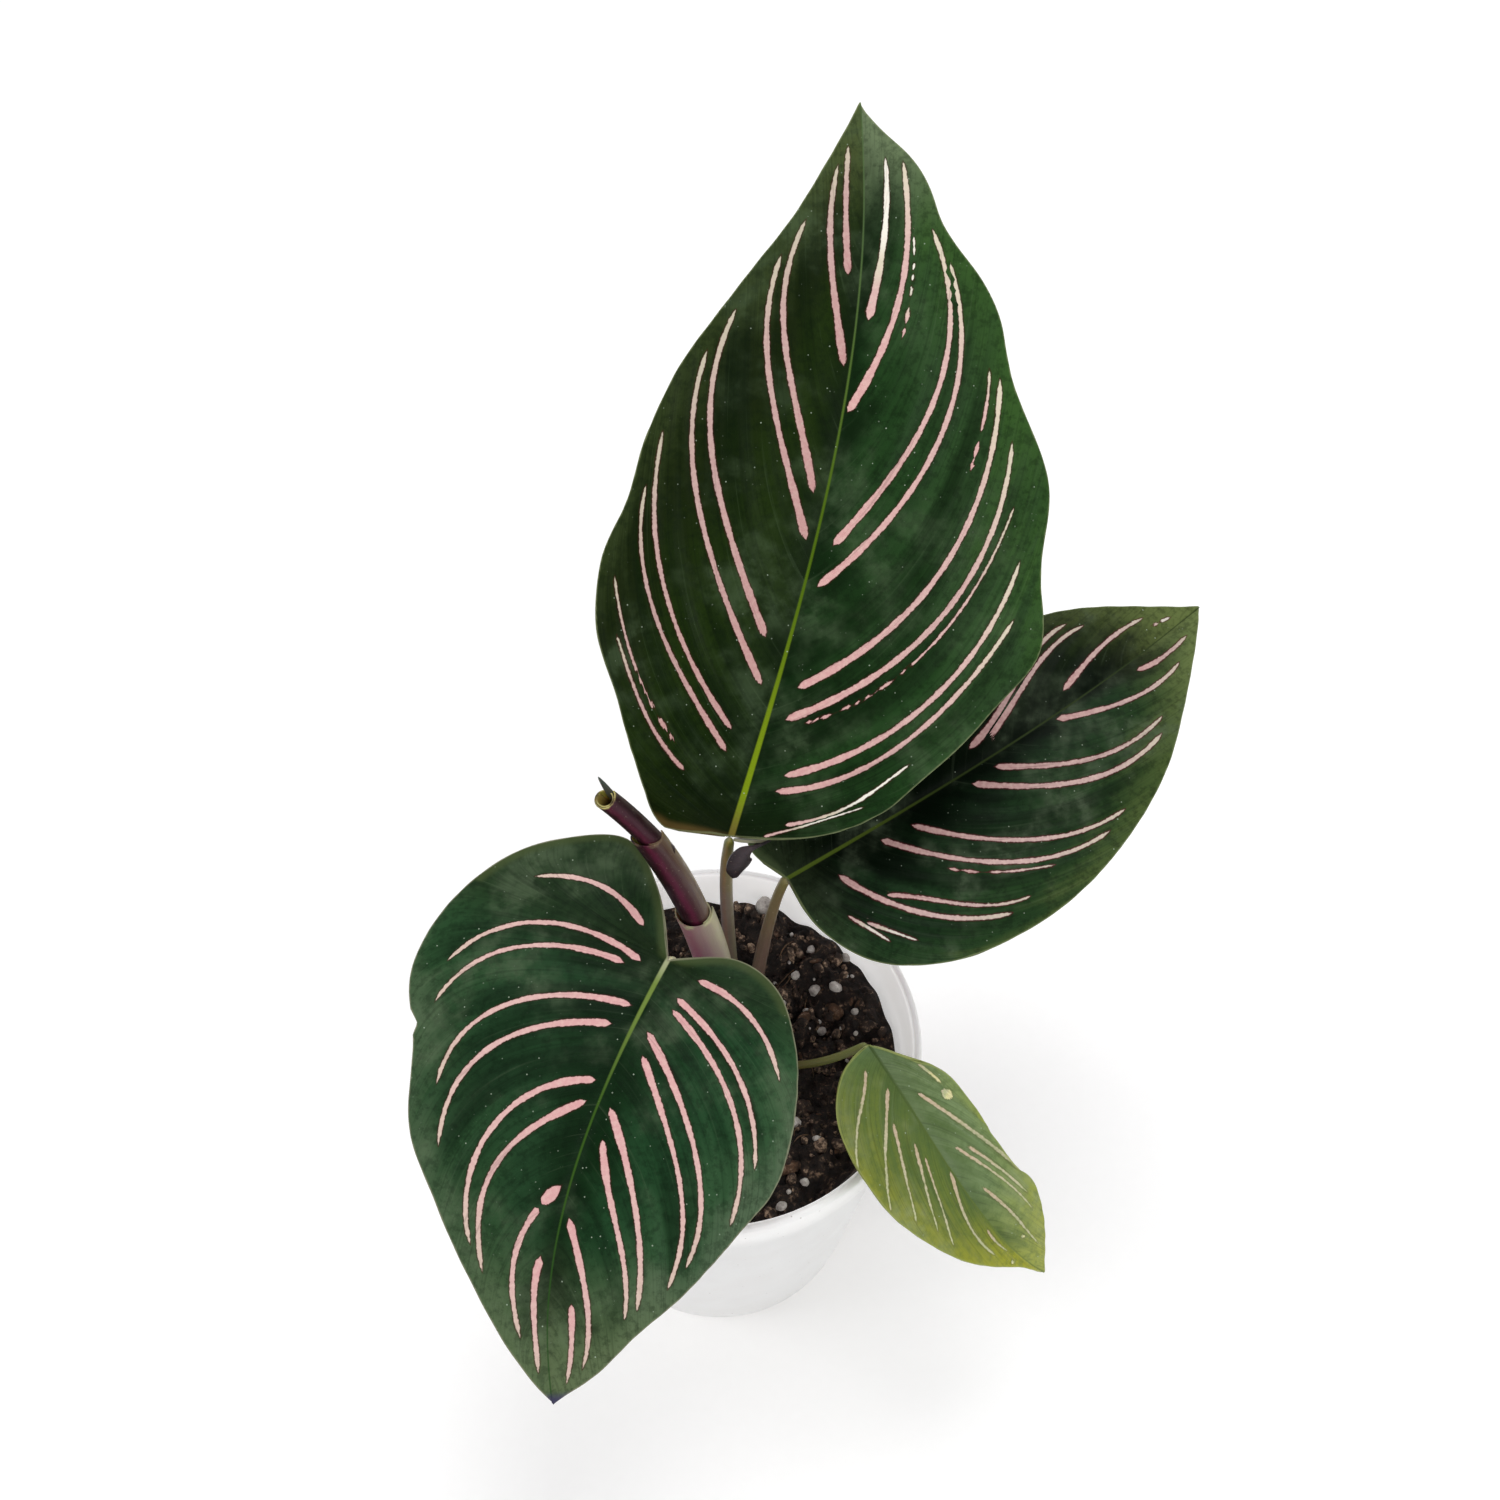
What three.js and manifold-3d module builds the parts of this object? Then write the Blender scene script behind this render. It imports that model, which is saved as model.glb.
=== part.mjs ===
// A potted pinstripe calathea: four striped blades on thin stalks, a young leaf still rolled in its
// sheath, the short rhizome with its roots, the potting mix and a small nursery pot.
// Millimetres, +Z up. The origin is the centre of the pot's flat base.
import * as THREE from "three";
import { mergeVertices } from "three/addons/utils/BufferGeometryUtils.js";
import Module from "manifold-3d";

const wasm = await Module();
wasm.setup();

// Clearance kept between pieces that touch.
const GAP = 0.3;

// Nursery pot.
const POT = {
  height: 62,
  rimRadius: 34.6,
  mouthRadius: 32.6,
  baseRadius: 24.5,
  wall: 1.1,
  floor: 1.4,
  collarHeight: 6.5,
  collarStep: 0.9,
  lip: 0.7,
  sides: 48,
  drains: 5,
  drainRadius: 3.4,
  drainCircle: 14,
};

// Potting mix: mean height of its top, how rough it is, and the grains that lie in it. Its hills and
// ridges are waves, in radians a millimetre across and back.
const SOIL = {
  top: 54,
  rough: 0.9,
  hills: [0.42, 0.37],
  hillPhases: [1.3, -0.6],
  ridges: [0.81, -0.7],
  ridgeShare: 0.6,
  backRise: 2.4,
  wallSlack: 0.15,
  rings: 6,
  sides: 32,
  grains: 15,
  grainRadius: [0.9, 1.7],
  grainField: 28,
  grainTurn: 2.4,
  grainStray: 0.5,
  seed: 20,
};

// Rhizome, buried under the stalks, and the roots that leave it. The shortest root has the share
// rootLeast of the full reach and depth, and rootBend is how far a root may turn aside, in radians.
const CROWN = {
  centre: [3.2, 8.6, 45],
  radii: [6.2, 8.6, 5.6],
  roots: 7,
  rootRadius: 0.9,
  rootReach: 15,
  rootDepth: 25,
  rootLeast: 0.6,
  rootBend: 1.2,
  rootSides: 5,
  rootSteps: 6,
};

// Blades. A midrib is the four control points of a cubic. A margin runs from the base round the lobe
// to the tip as [along the midrib, across it]; "right" is to the right of someone who looks from the
// base to the tip. "faces" is the way the blade's upper side faces. "fold" lifts both halves off the
// midrib, "droop" lets their outer parts sink again, "ripple" waves the margin up and down, and
// "scallop" waves the right margin in and out, more and more towards the tip.
const BLADE_THICKNESS = 0.7;
const BLADES = {
  leaf_back: {
    midrib: [[2.8, 12.2, 103], [13.2, 32.5, 132.5], [25.2, 60, 158.2], [22, 93.2, 176.6]],
    faces: [-0.05, -0.67, 0.74],
    fold: 0.1,
    droop: 0.14,
    half: 32,
    ripple: 1.1,
    waves: 5,
    scallop: 0.9,
    left: [[0, 0], [0, -11], [8, -18], [16.5, -23], [25.5, -28.5], [36, -30.5], [46.5, -28.5], [57, -28],
      [67.5, -25.5], [77, -21], [86.5, -16], [95.5, -10], [104.5, -5], [113, 0]],
    right: [[0, 0], [4, 12], [10.5, 20.5], [19, 26], [28.5, 31.5], [38, 36], [48, 34], [58.5, 32.5],
      [68, 27.5], [77.5, 22.5], [87, 17.5], [95.5, 11], [105, 6], [113, 0]],
    rows: 36,
  },
  leaf_right: {
    midrib: [[11.6, 13.2, 90], [35.8, 22, 101.7], [61.1, 36.7, 107.2], [80.7, 57.2, 105.6]],
    faces: [-0.03, -0.29, 0.96],
    fold: 0.1,
    droop: 0.16,
    half: 26,
    ripple: 0.8,
    waves: 4,
    scallop: 0,
    left: [[0, 0], [-3, -8], [3, -17], [12, -22.5], [23, -24.5], [34, -24], [44.5, -22], [55, -17.5],
      [64.5, -13.5], [74.5, -7.5], [85, 0]],
    right: [[0, 0], [1, 10], [6.5, 19], [16, 24.5], [27, 26], [37.5, 25.5], [48, 22.5], [58, 18], [67, 12],
      [76, 6], [85, 0]],
    rows: 26,
  },
  leaf_front: {
    midrib: [[-6.7, -5, 95], [-16.1, -25.3, 94], [-26, -45.3, 84.1], [-22.4, -62.1, 68.3]],
    faces: [-0.07, -0.41, 0.91],
    fold: 0.08,
    droop: 0.14,
    half: 30,
    ripple: 0.8,
    waves: 4,
    scallop: 0,
    right: [[0, 0], [-10, 6.5], [-16, 15], [-11, 24.5], [-3.5, 31.5], [6, 35], [16.5, 34.5], [25, 29.5],
      [35, 25.5], [42.5, 18.5], [50.5, 12], [59, 6], [67.5, 0]],
    left: [[0, 0], [-4.5, -9], [-3, -17], [3, -22.5], [10.5, -26], [19, -28], [27.5, -28], [35.5, -25.5],
      [43, -22.5], [50.5, -18.5], [57, -13], [63.5, -7], [67.5, 0]],
    rows: 28,
  },
  leaf_low: {
    midrib: [[24.6, -7.2, 73], [33.3, -21.5, 72.2], [42.5, -35.5, 60.1], [53.3, -33.9, 46.2]],
    faces: [0.44, -0.36, 0.82],
    fold: 0.16,
    droop: 0.1,
    half: 14,
    ripple: 0.5,
    waves: 3,
    scallop: 0,
    right: [[0, 0], [2.5, 7], [7.5, 12], [13.5, 14], [20.5, 13.5], [26.5, 11.5], [33, 8.5], [38.5, 5],
      [44.5, 1.5], [51, 0]],
    left: [[0, 0], [5.5, -4.5], [10.5, -8.5], [17.5, -9.5], [24, -9], [30.5, -9.5], [37, -10.5],
      [43, -8], [48, -4.5], [51, 0]],
    rows: 20,
  },
};
const SCALLOPS = 6.5;
// Rows of a blade's mesh run straight from the midrib to the margin. RIB_START is how far round the
// margin the first row is that doesn't start at the base, and RIB_CROWDING gathers the starts there.
const RIB_START = 0.2;
const RIB_CROWDING = 3.4;
const RIB_CELLS = 5;
// How far apart two points lie that give the direction of a blade's surface.
const NUDGE = 0.05;

// The right basal ear of the back blade, curled under: its centre line, widths and thickness.
const CURL = {
  path: [[11.5, 12.6, 105.2], [7, 9.4, 105.6], [4.4, 8.6, 102.6], [3.4, 8.3, 97.6]],
  widths: [0.9, 2.2, 3.9, 3.4, 0.8],
  thickness: 0.8,
};

// Stalks, each from the rhizome to its blade, with their radii from bottom to top.
const STALKS = {
  stalk_back: {
    path: [[2.6, 13.4, 46], [2.6, 16.2, 70], [0.9, 13.8, 86], [2.6, 11.9, 102.9]],
    radii: [1.5, 1.25, 1.1, 1.15, 1.2, 0.85],
    blade: "leaf_back",
  },
  stalk_right: {
    path: [[5.6, 12, 46], [7.2, 15.6, 63], [9.6, 16.4, 80], [11.5, 13.2, 89.9]],
    radii: [1.5, 1.25, 1.1, 0.95, 0.85, 0.75],
    blade: "leaf_right",
  },
  stalk_front: {
    path: [[2.2, 2.6, 46], [1.2, 0.4, 66], [-2.4, -3.2, 82], [-6.6, -4.8, 94.9]],
    radii: [1.5, 1.3, 1.15, 1.1, 1.15, 0.95],
    blade: "leaf_front",
  },
  stalk_low: {
    path: [[6.4, 5, 46], [8.4, -3, 58.5], [15, -8, 64], [24.4, -7, 72.8]],
    radii: [1, 0.8, 0.7, 0.65, 0.65, 0.6],
    blade: "leaf_low",
  },
};
const STALK_SIDES = 10;
const STALK_STEPS = 14;

// The youngest shoot: a sheath, and the leaf that it wraps at its foot. Both follow one line.
const SHOOT = [[2.6, 6.8, 46], [0.6, 7.6, 66], [-0.6, 8.8, 86], [-10.2, 7.9, 110]];

// The young leaf, rolled into a tube: the outer wrap, the inner roll that stands out of it, the open
// end and the pointed tip of the blade beside it. Its foot sits in the sheath.
const ROLL = {
  from: 0.45,
  wrapRadii: [1.9, 2.3, 2.5, 2.5, 2.3],
  inner: [[-8.6, 8.1, 107], [-10.6, 7.9, 111], [-13, 7.5, 116], [-15.5, 7, 120]],
  innerRadii: [1.7, 1.75, 1.7],
  boreRadius: 1.05,
  boreDepth: 7,
  spike: [[-14.3, 8.1, 118.4], [-15, 8, 120], [-15.6, 7.8, 122.5], [-16.2, 7.5, 125.4]],
  spikeRadii: [0.7, 0.6, 0.35],
  sides: 14,
};

// The sheathing stalk round the foot of the rolled leaf.
const SHEATH = {
  to: 0.645,
  radii: [2.6, 2.5, 2.7, 3.1, 3.1],
  sides: 14,
};

const COLOURS = {
  pot: 0xe9e6e2,
  soil: 0x1b1613,
  crown: 0x8a7a52,
  back: 0x24381c,
  right: 0x2b4226,
  front: 0x1f3a1f,
  low: 0x6f7f35,
  stalk: 0x6f6442,
  roll: 0x4a2836,
  sheath: 0xa09480,
};

// A repeatable stream of numbers between 0 and 1.
function stream(seed) {
  let state = seed;
  return () => {
    state = (state * 16807) % 2147483647;
    return state / 2147483647;
  };
}

const vector = (p) => new THREE.Vector3(...p);

// Point of a cubic at t, carried on straight before its start.
function along(points, t) {
  const [a, b, c, d] = points.map(vector);
  const k = Math.max(t, 0);
  const curve = new THREE.CubicBezierCurve3(a, b, c, d);
  const slope = b.clone().sub(a).multiplyScalar(3);
  return curve.getPoint(k).addScaledVector(slope, t - k);
}

// Slope of the same cubic.
function slopeAlong(points, t) {
  const [a, b, c, d] = points.map(vector);
  const k = Math.min(Math.max(t, 0), 1);
  return b.clone().sub(a).multiplyScalar(3 * (1 - k) ** 2)
    .addScaledVector(c.clone().sub(b), 6 * (1 - k) * k)
    .addScaledVector(d.clone().sub(c), 3 * k * k);
}

// Value of an evenly spaced list at t, smoothed by a Catmull-Rom curve.
function smoothed(points, t) {
  const last = points.length - 1;
  const x = Math.min(Math.max(t, 0), 1) * last;
  const i = Math.min(Math.floor(x), last - 1);
  const f = x - i;
  const at = (k) => {
    if (k < 0) return points[0].map((v, n) => 2 * v - points[1][n]);
    if (k > last) return points[last].map((v, n) => 2 * v - points[last - 1][n]);
    return points[k];
  };
  const [p, q, r, s] = [at(i - 1), at(i), at(i + 1), at(i + 2)];
  return q.map((v, n) => 0.5 * (2 * v + (r[n] - p[n]) * f + (2 * p[n] - 5 * v + 4 * r[n] - s[n]) * f * f
    + (3 * v - p[n] - 3 * r[n] + s[n]) * f ** 3));
}

const smoothedNumber = (values, t) => smoothed(values.map((v) => [v]), t)[0];

// A closed geometry as a manifold-3d solid, and a solid as a geometry.
function toSolid(geometry) {
  const bare = new THREE.BufferGeometry().setAttribute("position", geometry.getAttribute("position"));
  if (geometry.index) bare.setIndex(geometry.index);
  const merged = mergeVertices(bare, 1e-4);
  const kept = [];
  const index = merged.index.array;
  for (let i = 0; i < index.length; i += 3) {
    const [a, b, c] = [index[i], index[i + 1], index[i + 2]];
    if (a !== b && b !== c && c !== a) kept.push(a, b, c);
  }
  const made = new wasm.Manifold(new wasm.Mesh({
    numProp: 3,
    vertProperties: merged.getAttribute("position").array,
    triVerts: new Uint32Array(kept),
  }));
  return made;
}

function toGeometry(solid) {
  const mesh = solid.getMesh();
  return new THREE.BufferGeometry()
    .setAttribute("position", new THREE.BufferAttribute(new Float32Array(mesh.vertProperties), 3))
    .setIndex(new THREE.BufferAttribute(new Uint32Array(mesh.triVerts), 1));
}

// The largest body of a solid, without the scraps that a cut leaves.
function largest(solid) {
  return solid.decompose().reduce((a, b) => (a.volume() > b.volume() ? a : b));
}

// A closed solid from rings of points, each ring turned the same way, ends closed by fans.
function lofted(rings) {
  const positions = [];
  const face = (a, b, c) => [a, b, c].forEach((v) => positions.push(v.x, v.y, v.z));
  const centre = (ring) => ring.reduce((sum, v) => sum.add(v), new THREE.Vector3()).divideScalar(ring.length);
  const sides = rings[0].length;
  const first = centre(rings[0]);
  const last = centre(rings.at(-1));
  for (let i = 0; i < sides; i += 1) {
    const next = (i + 1) % sides;
    face(first, rings[0][next], rings[0][i]);
    face(last, rings.at(-1)[i], rings.at(-1)[next]);
    for (let k = 1; k < rings.length; k += 1) {
      face(rings[k - 1][i], rings[k - 1][next], rings[k][next]);
      face(rings[k - 1][i], rings[k][next], rings[k][i]);
    }
  }
  return toSolid(new THREE.BufferGeometry()
    .setAttribute("position", new THREE.Float32BufferAttribute(positions, 3)));
}

// A tapered rod along a cubic, or a stretch of it, oval where its two half-widths differ.
function rod(path, options) {
  const { radii, depths = radii, sides = STALK_SIDES, steps = STALK_STEPS } = options;
  const { grow = 0, from = 0, to = 1 } = options;
  const rings = [];
  let across = new THREE.Vector3(1, 0, 0);
  for (let k = 0; k <= steps; k += 1) {
    const share = k / steps;
    const t = from + (to - from) * share;
    const tangent = slopeAlong(path, t).normalize();
    across = across.clone().addScaledVector(tangent, -across.dot(tangent)).normalize();
    const other = tangent.clone().cross(across);
    const wide = smoothedNumber(radii, share) + grow;
    const deep = smoothedNumber(depths, share) + grow;
    const middle = along(path, t);
    rings.push(Array.from({ length: sides }, (_, i) => {
      const angle = (2 * Math.PI * i) / sides;
      return middle.clone()
        .addScaledVector(across, wide * Math.cos(angle))
        .addScaledVector(other, deep * Math.sin(angle));
    }));
  }
  return lofted(rings);
}

// A turned solid from a closed outline of [radius, height] points.
function turned(outline, sides) {
  const profile = outline.map(([r, z]) => new THREE.Vector2(r, z));
  profile.push(profile[0].clone());
  return toSolid(new THREE.LatheGeometry(profile, sides).rotateX(Math.PI / 2));
}

// Radius of the pot's inner wall at a height.
function innerRadius(z) {
  const outerTop = POT.mouthRadius + POT.wall;
  return POT.baseRadius + ((outerTop - POT.baseRadius) * z) / POT.height - POT.wall;
}

function pot() {
  const { height, rimRadius, mouthRadius, baseRadius, wall, floor, collarHeight, collarStep, lip } = POT;
  const outer = (z) => innerRadius(z) + wall;
  const collarFoot = height - collarHeight;
  const shell = turned([
    [0, 0],
    [baseRadius - 1, 0],
    [baseRadius, 1],
    [outer(collarFoot), collarFoot],
    [rimRadius - collarStep, collarFoot + collarStep],
    [rimRadius - 0.2, height - lip],
    [rimRadius - lip, height],
    [mouthRadius + lip, height],
    [mouthRadius, height - lip],
    [innerRadius(floor + 1), floor + 1],
    [innerRadius(floor + 1) - 1, floor],
    [0, floor],
  ], POT.sides);
  let made = shell;
  for (let i = 0; i < POT.drains; i += 1) {
    const angle = (2 * Math.PI * i) / POT.drains;
    const drain = new THREE.CylinderGeometry(POT.drainRadius, POT.drainRadius, 4 * floor, 16)
      .rotateX(Math.PI / 2)
      .translate(POT.drainCircle * Math.cos(angle), POT.drainCircle * Math.sin(angle), floor);
    made = made.subtract(toSolid(drain));
  }
  return made;
}

// Rhizome and roots, "grow" wider all round for the hole that they lie in.
function crown(grow = 0) {
  const { centre, radii, roots, rootRadius, rootReach, rootDepth, rootLeast, rootBend } = CROWN;
  const { rootSides, rootSteps } = CROWN;
  const lump = new THREE.SphereGeometry(1, 14, 8)
    .rotateX(Math.PI / 2)
    .scale(...radii.map((r) => r + grow))
    .translate(...centre);
  let made = toSolid(lump);
  const next = stream(SOIL.seed);
  for (let i = 0; i < roots; i += 1) {
    const angle = (2 * Math.PI * (i + 0.5 * next())) / roots;
    const out = rootReach * (rootLeast + (1 - rootLeast) * next());
    const down = rootDepth * (rootLeast + (1 - rootLeast) * next());
    const bend = (next() - 0.5) * rootBend;
    const point = (k, turn, drop) => [
      centre[0] * (1 - k) + k * out * Math.cos(angle + turn),
      centre[1] * (1 - k) + k * out * Math.sin(angle + turn),
      centre[2] - drop * down,
    ];
    const path = [point(0.2, 0, 0.1), point(0.6, 0, 0.25), point(0.95, bend / 2, 0.6), point(1, bend, 1)];
    const taper = [rootRadius, rootRadius, 0.5 * rootRadius];
    made = made.add(rod(path, { radii: taper, sides: rootSides, steps: rootSteps, grow }));
  }
  return made;
}

// Height of the soil's surface.
function soilTop(x, y) {
  const { top, rough, backRise, grainField, hills, hillPhases, ridges, ridgeShare } = SOIL;
  const hill = Math.sin(hills[0] * x + hillPhases[0]) * Math.cos(hills[1] * y + hillPhases[1]);
  const ridge = ridgeShare * Math.sin(ridges[0] * x + ridges[1] * y);
  return top + rough * (hill + ridge) + (backRise * Math.max(y, 0)) / grainField;
}

// Potting mix with a rough top and grains standing half out of it, before the plant's holes are cut.
function soilBody() {
  const bottom = POT.floor + GAP;
  const rings = [];
  const ring = (radius, height) => Array.from({ length: SOIL.sides }, (_, i) => {
    const angle = (2 * Math.PI * i) / SOIL.sides;
    const [x, y] = [radius * Math.cos(angle), radius * Math.sin(angle)];
    return new THREE.Vector3(x, y, height ?? soilTop(x, y));
  });
  const flat = (z) => (innerRadius(z) - GAP - SOIL.wallSlack) * Math.cos(Math.PI / POT.sides);
  rings.push(ring(0.3 * flat(bottom), bottom));
  rings.push(ring(flat(bottom + 1) - 1, bottom));
  rings.push(ring(flat(bottom + 1), bottom + 1));
  const edge = flat(SOIL.top - 2);
  for (let k = SOIL.rings; k > 0; k -= 1) rings.push(ring((edge * k) / SOIL.rings));
  let made = lofted(rings);
  const next = stream(SOIL.seed + 1);
  for (let i = 0; i < SOIL.grains; i += 1) {
    const angle = SOIL.grainTurn * i + SOIL.grainStray * next();
    const reach = SOIL.grainField * Math.sqrt((i + 0.5) / SOIL.grains);
    const [least, most] = SOIL.grainRadius;
    const size = least + (most - least) * next();
    const [x, y] = [reach * Math.cos(angle), reach * Math.sin(angle)];
    const grain = new THREE.DodecahedronGeometry(size)
      .scale(1, 0.9, 0.8)
      .translate(x, y, soilTop(x, y) + 0.1 * size);
    made = made.add(toSolid(grain));
  }
  return made;
}

// Midrib point, sideways direction and upward direction of a blade at s millimetres from its base.
function bladeFrame(blade, s) {
  const t = s / blade.length;
  const tangent = slopeAlong(blade.midrib, t).normalize();
  const side = tangent.clone().cross(vector(blade.faces)).normalize();
  return { middle: along(blade.midrib, t), side, up: side.clone().cross(tangent) };
}

// The blade's surface at s along and t across.
function bladePoint(blade, s, t, lift) {
  const { middle, side, up } = bladeFrame(blade, s);
  const height = blade.fold * Math.abs(t) - (blade.droop * t * t) / blade.half + lift;
  return middle.addScaledVector(side, t).addScaledVector(up, height);
}

// Where on the flat blade a point is: u is how far round the margin its row ends, v how far out it is.
function flatPoint(blade, margin, u, v) {
  const root = blade.length * Math.max((u - RIB_START) / (1 - RIB_START), 0) ** RIB_CROWDING;
  const [s, t] = smoothed(margin, u);
  const notch = t > 0 ? blade.scallop * u * Math.sin(2 * Math.PI * SCALLOPS * u) : 0;
  return [root + v * (s - root), v * (t - notch)];
}

// A thin closed blade. Both faces are split into triangles alike.
function bladeSolid(blade, grow = 0) {
  const half = BLADE_THICKNESS / 2 + grow;
  const positions = [];
  const face = (a, b, c) => [a, b, c].forEach((v) => positions.push(v.x, v.y, v.z));
  const wide = (margin) => margin.map(([s, t], i) => {
    const end = i === 0 || i === margin.length - 1;
    return [s + (end ? Math.sign(i - 1) * grow : 0), end ? t : t + Math.sign(t) * grow];
  });
  for (const [margin, turn] of [[wide(blade.right), 1], [wide(blade.left), -1]]) {
    const point = (i, j, way) => {
      const u = i / blade.rows;
      const v = j / RIB_CELLS;
      const [s, t] = flatPoint(blade, margin, u, v);
      const wave = Math.sin(2 * Math.PI * blade.waves * u + turn);
      const lift = blade.ripple * v * v * Math.sin(Math.PI * u) * wave;
      const here = bladePoint(blade, s, t, lift);
      const out = bladePoint(blade, s, t + NUDGE * turn, lift).sub(here).multiplyScalar(turn);
      const on = bladePoint(blade, s + NUDGE, t, lift).sub(here);
      const up = Math.abs(t) < 1e-6 ? bladeFrame(blade, s).up : out.cross(on).normalize();
      return here.addScaledVector(up, way * half);
    };
    const quad = (a, b, c, d) => {
      const order = turn > 0 ? [[a, b, c], [a, c, d]] : [[c, b, a], [d, c, a]];
      order.forEach((corners) => face(...corners));
    };
    for (let i = 0; i < blade.rows; i += 1) {
      for (let j = 0; j < RIB_CELLS; j += 1) {
        quad(point(i, j, 1), point(i, j + 1, 1), point(i + 1, j + 1, 1), point(i + 1, j, 1));
        quad(point(i + 1, j, -1), point(i + 1, j + 1, -1), point(i, j + 1, -1), point(i, j, -1));
      }
      const [a, b] = [point(i, RIB_CELLS, 1), point(i + 1, RIB_CELLS, 1)];
      const [c, d] = [point(i + 1, RIB_CELLS, -1), point(i, RIB_CELLS, -1)];
      quad(b, a, d, c);
    }
  }
  return toSolid(new THREE.BufferGeometry()
    .setAttribute("position", new THREE.Float32BufferAttribute(positions, 3)));
}

function curl(grow = 0) {
  const half = CURL.widths.map((w) => w / 2);
  const thin = CURL.widths.map(() => CURL.thickness / 2);
  return rod(CURL.path, { radii: half, depths: thin, sides: 10, steps: 10, grow });
}

// The rolled leaf: outer wrap, inner roll with its open end, and the spiked tip.
function rolledLeaf(grow = 0) {
  const { sides, from } = ROLL;
  const wrap = rod(SHOOT, { radii: ROLL.wrapRadii, sides, steps: 8, grow, from });
  const inner = rod(ROLL.inner, { radii: ROLL.innerRadii, sides, steps: 4, grow });
  const spike = rod(ROLL.spike, { radii: ROLL.spikeRadii, sides: 6, steps: 3, grow });
  if (grow > 0) return wrap.add(inner);
  const end = along(ROLL.inner, 1);
  const back = slopeAlong(ROLL.inner, 1).normalize();
  const bore = new THREE.CylinderGeometry(ROLL.boreRadius, ROLL.boreRadius, 2 * ROLL.boreDepth, 12);
  bore.applyQuaternion(new THREE.Quaternion().setFromUnitVectors(new THREE.Vector3(0, 1, 0), back));
  bore.translate(end.x, end.y, end.z);
  return wrap.add(inner).add(spike).subtract(toSolid(bore));
}

for (const blade of Object.values(BLADES)) {
  blade.length = new THREE.CubicBezierCurve3(...blade.midrib.map(vector)).getLength();
}

const solids = {};
for (const [name, blade] of Object.entries(BLADES)) solids[name] = bladeSolid(blade);
solids.leaf_back = solids.leaf_back.add(curl());

const buried = crown(GAP);
const grown = {};
for (const [name, stalk] of Object.entries(STALKS)) {
  const shape = rod(stalk.path, { radii: stalk.radii });
  solids[name] = largest(shape.subtract(bladeSolid(BLADES[stalk.blade], GAP)).subtract(buried));
  grown[name] = rod(stalk.path, { radii: stalk.radii, grow: GAP });
}
solids.sheath = largest(rod(SHOOT, SHEATH).subtract(rolledLeaf(GAP)).subtract(buried));
grown.sheath = rod(SHOOT, { ...SHEATH, grow: GAP });
solids.leaf_rolled = rolledLeaf();
solids.crown = crown();
solids.pot = pot();
solids.soil = largest(Object.values(grown).reduce((body, hole) => body.subtract(hole), soilBody())
  .subtract(buried));

const FINISHES = {
  pot: [COLOURS.pot, 0.35],
  soil: [COLOURS.soil, 0.95],
  crown: [COLOURS.crown, 0.8],
  leaf_back: [COLOURS.back, 0.4],
  leaf_right: [COLOURS.right, 0.4],
  leaf_front: [COLOURS.front, 0.4],
  leaf_low: [COLOURS.low, 0.5],
  leaf_rolled: [COLOURS.roll, 0.4],
  sheath: [COLOURS.sheath, 0.5],
};

const plant = new THREE.Group();
for (const [name, solid] of Object.entries(solids)) {
  const [color, roughness] = FINISHES[name] ?? [COLOURS.stalk, 0.5];
  const material = new THREE.MeshStandardMaterial({ color, roughness, metalness: 0 });
  const mesh = new THREE.Mesh(toGeometry(solid), material);
  mesh.name = name;
  plant.add(mesh);
}

export default plant;
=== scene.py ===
"""A pinstripe calathea in a small white nursery pot, with its light and its camera.

The plant has four open blades on stalks, and one young leaf that is still rolled up in its sheath.
Sizes and places are in millimetres, unless a docstring says otherwise, and turn into metres where a mesh
is placed. A colour is given as it looks on a screen.
"""

import logging
import math
import random
from dataclasses import dataclass, field
from enum import Enum
from typing import Callable, Sequence

import bpy
import numpy as np
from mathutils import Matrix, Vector, noise


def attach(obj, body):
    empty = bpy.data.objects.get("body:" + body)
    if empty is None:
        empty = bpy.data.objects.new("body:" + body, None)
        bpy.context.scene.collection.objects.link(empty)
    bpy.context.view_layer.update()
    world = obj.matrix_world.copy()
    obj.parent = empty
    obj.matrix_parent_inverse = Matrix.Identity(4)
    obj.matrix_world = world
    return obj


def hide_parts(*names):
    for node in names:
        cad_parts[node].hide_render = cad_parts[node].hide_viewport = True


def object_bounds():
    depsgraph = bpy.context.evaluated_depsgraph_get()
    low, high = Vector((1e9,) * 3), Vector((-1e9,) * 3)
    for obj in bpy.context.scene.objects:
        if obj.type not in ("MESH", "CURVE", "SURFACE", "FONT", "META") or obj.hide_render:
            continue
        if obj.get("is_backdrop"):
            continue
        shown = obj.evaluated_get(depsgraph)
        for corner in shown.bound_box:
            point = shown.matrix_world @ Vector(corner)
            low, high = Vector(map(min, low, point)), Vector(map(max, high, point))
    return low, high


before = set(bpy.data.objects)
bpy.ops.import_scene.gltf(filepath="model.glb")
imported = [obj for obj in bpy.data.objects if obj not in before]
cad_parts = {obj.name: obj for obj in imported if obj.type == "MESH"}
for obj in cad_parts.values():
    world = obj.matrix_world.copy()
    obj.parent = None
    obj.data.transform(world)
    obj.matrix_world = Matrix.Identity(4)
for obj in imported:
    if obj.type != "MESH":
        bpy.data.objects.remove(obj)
CAD_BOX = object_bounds()

LOG = logging.getLogger("calathea")
APART = 10.0  # A pinstripe's number also holds the distance from it, divided by this.
MM = 0.001
BODY = "root"

Array = np.ndarray
Piece = bpy.types.Object
Material = bpy.types.Material
Socket = bpy.types.NodeSocket
Rgb = tuple[int, int, int]
Flat = tuple[float, float]
Point = tuple[float, float, float]
Placed = tuple[float, float, float, Point, Point]  # A copy's place, its size and its turn on each axis.


# Curves and numbers


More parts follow.
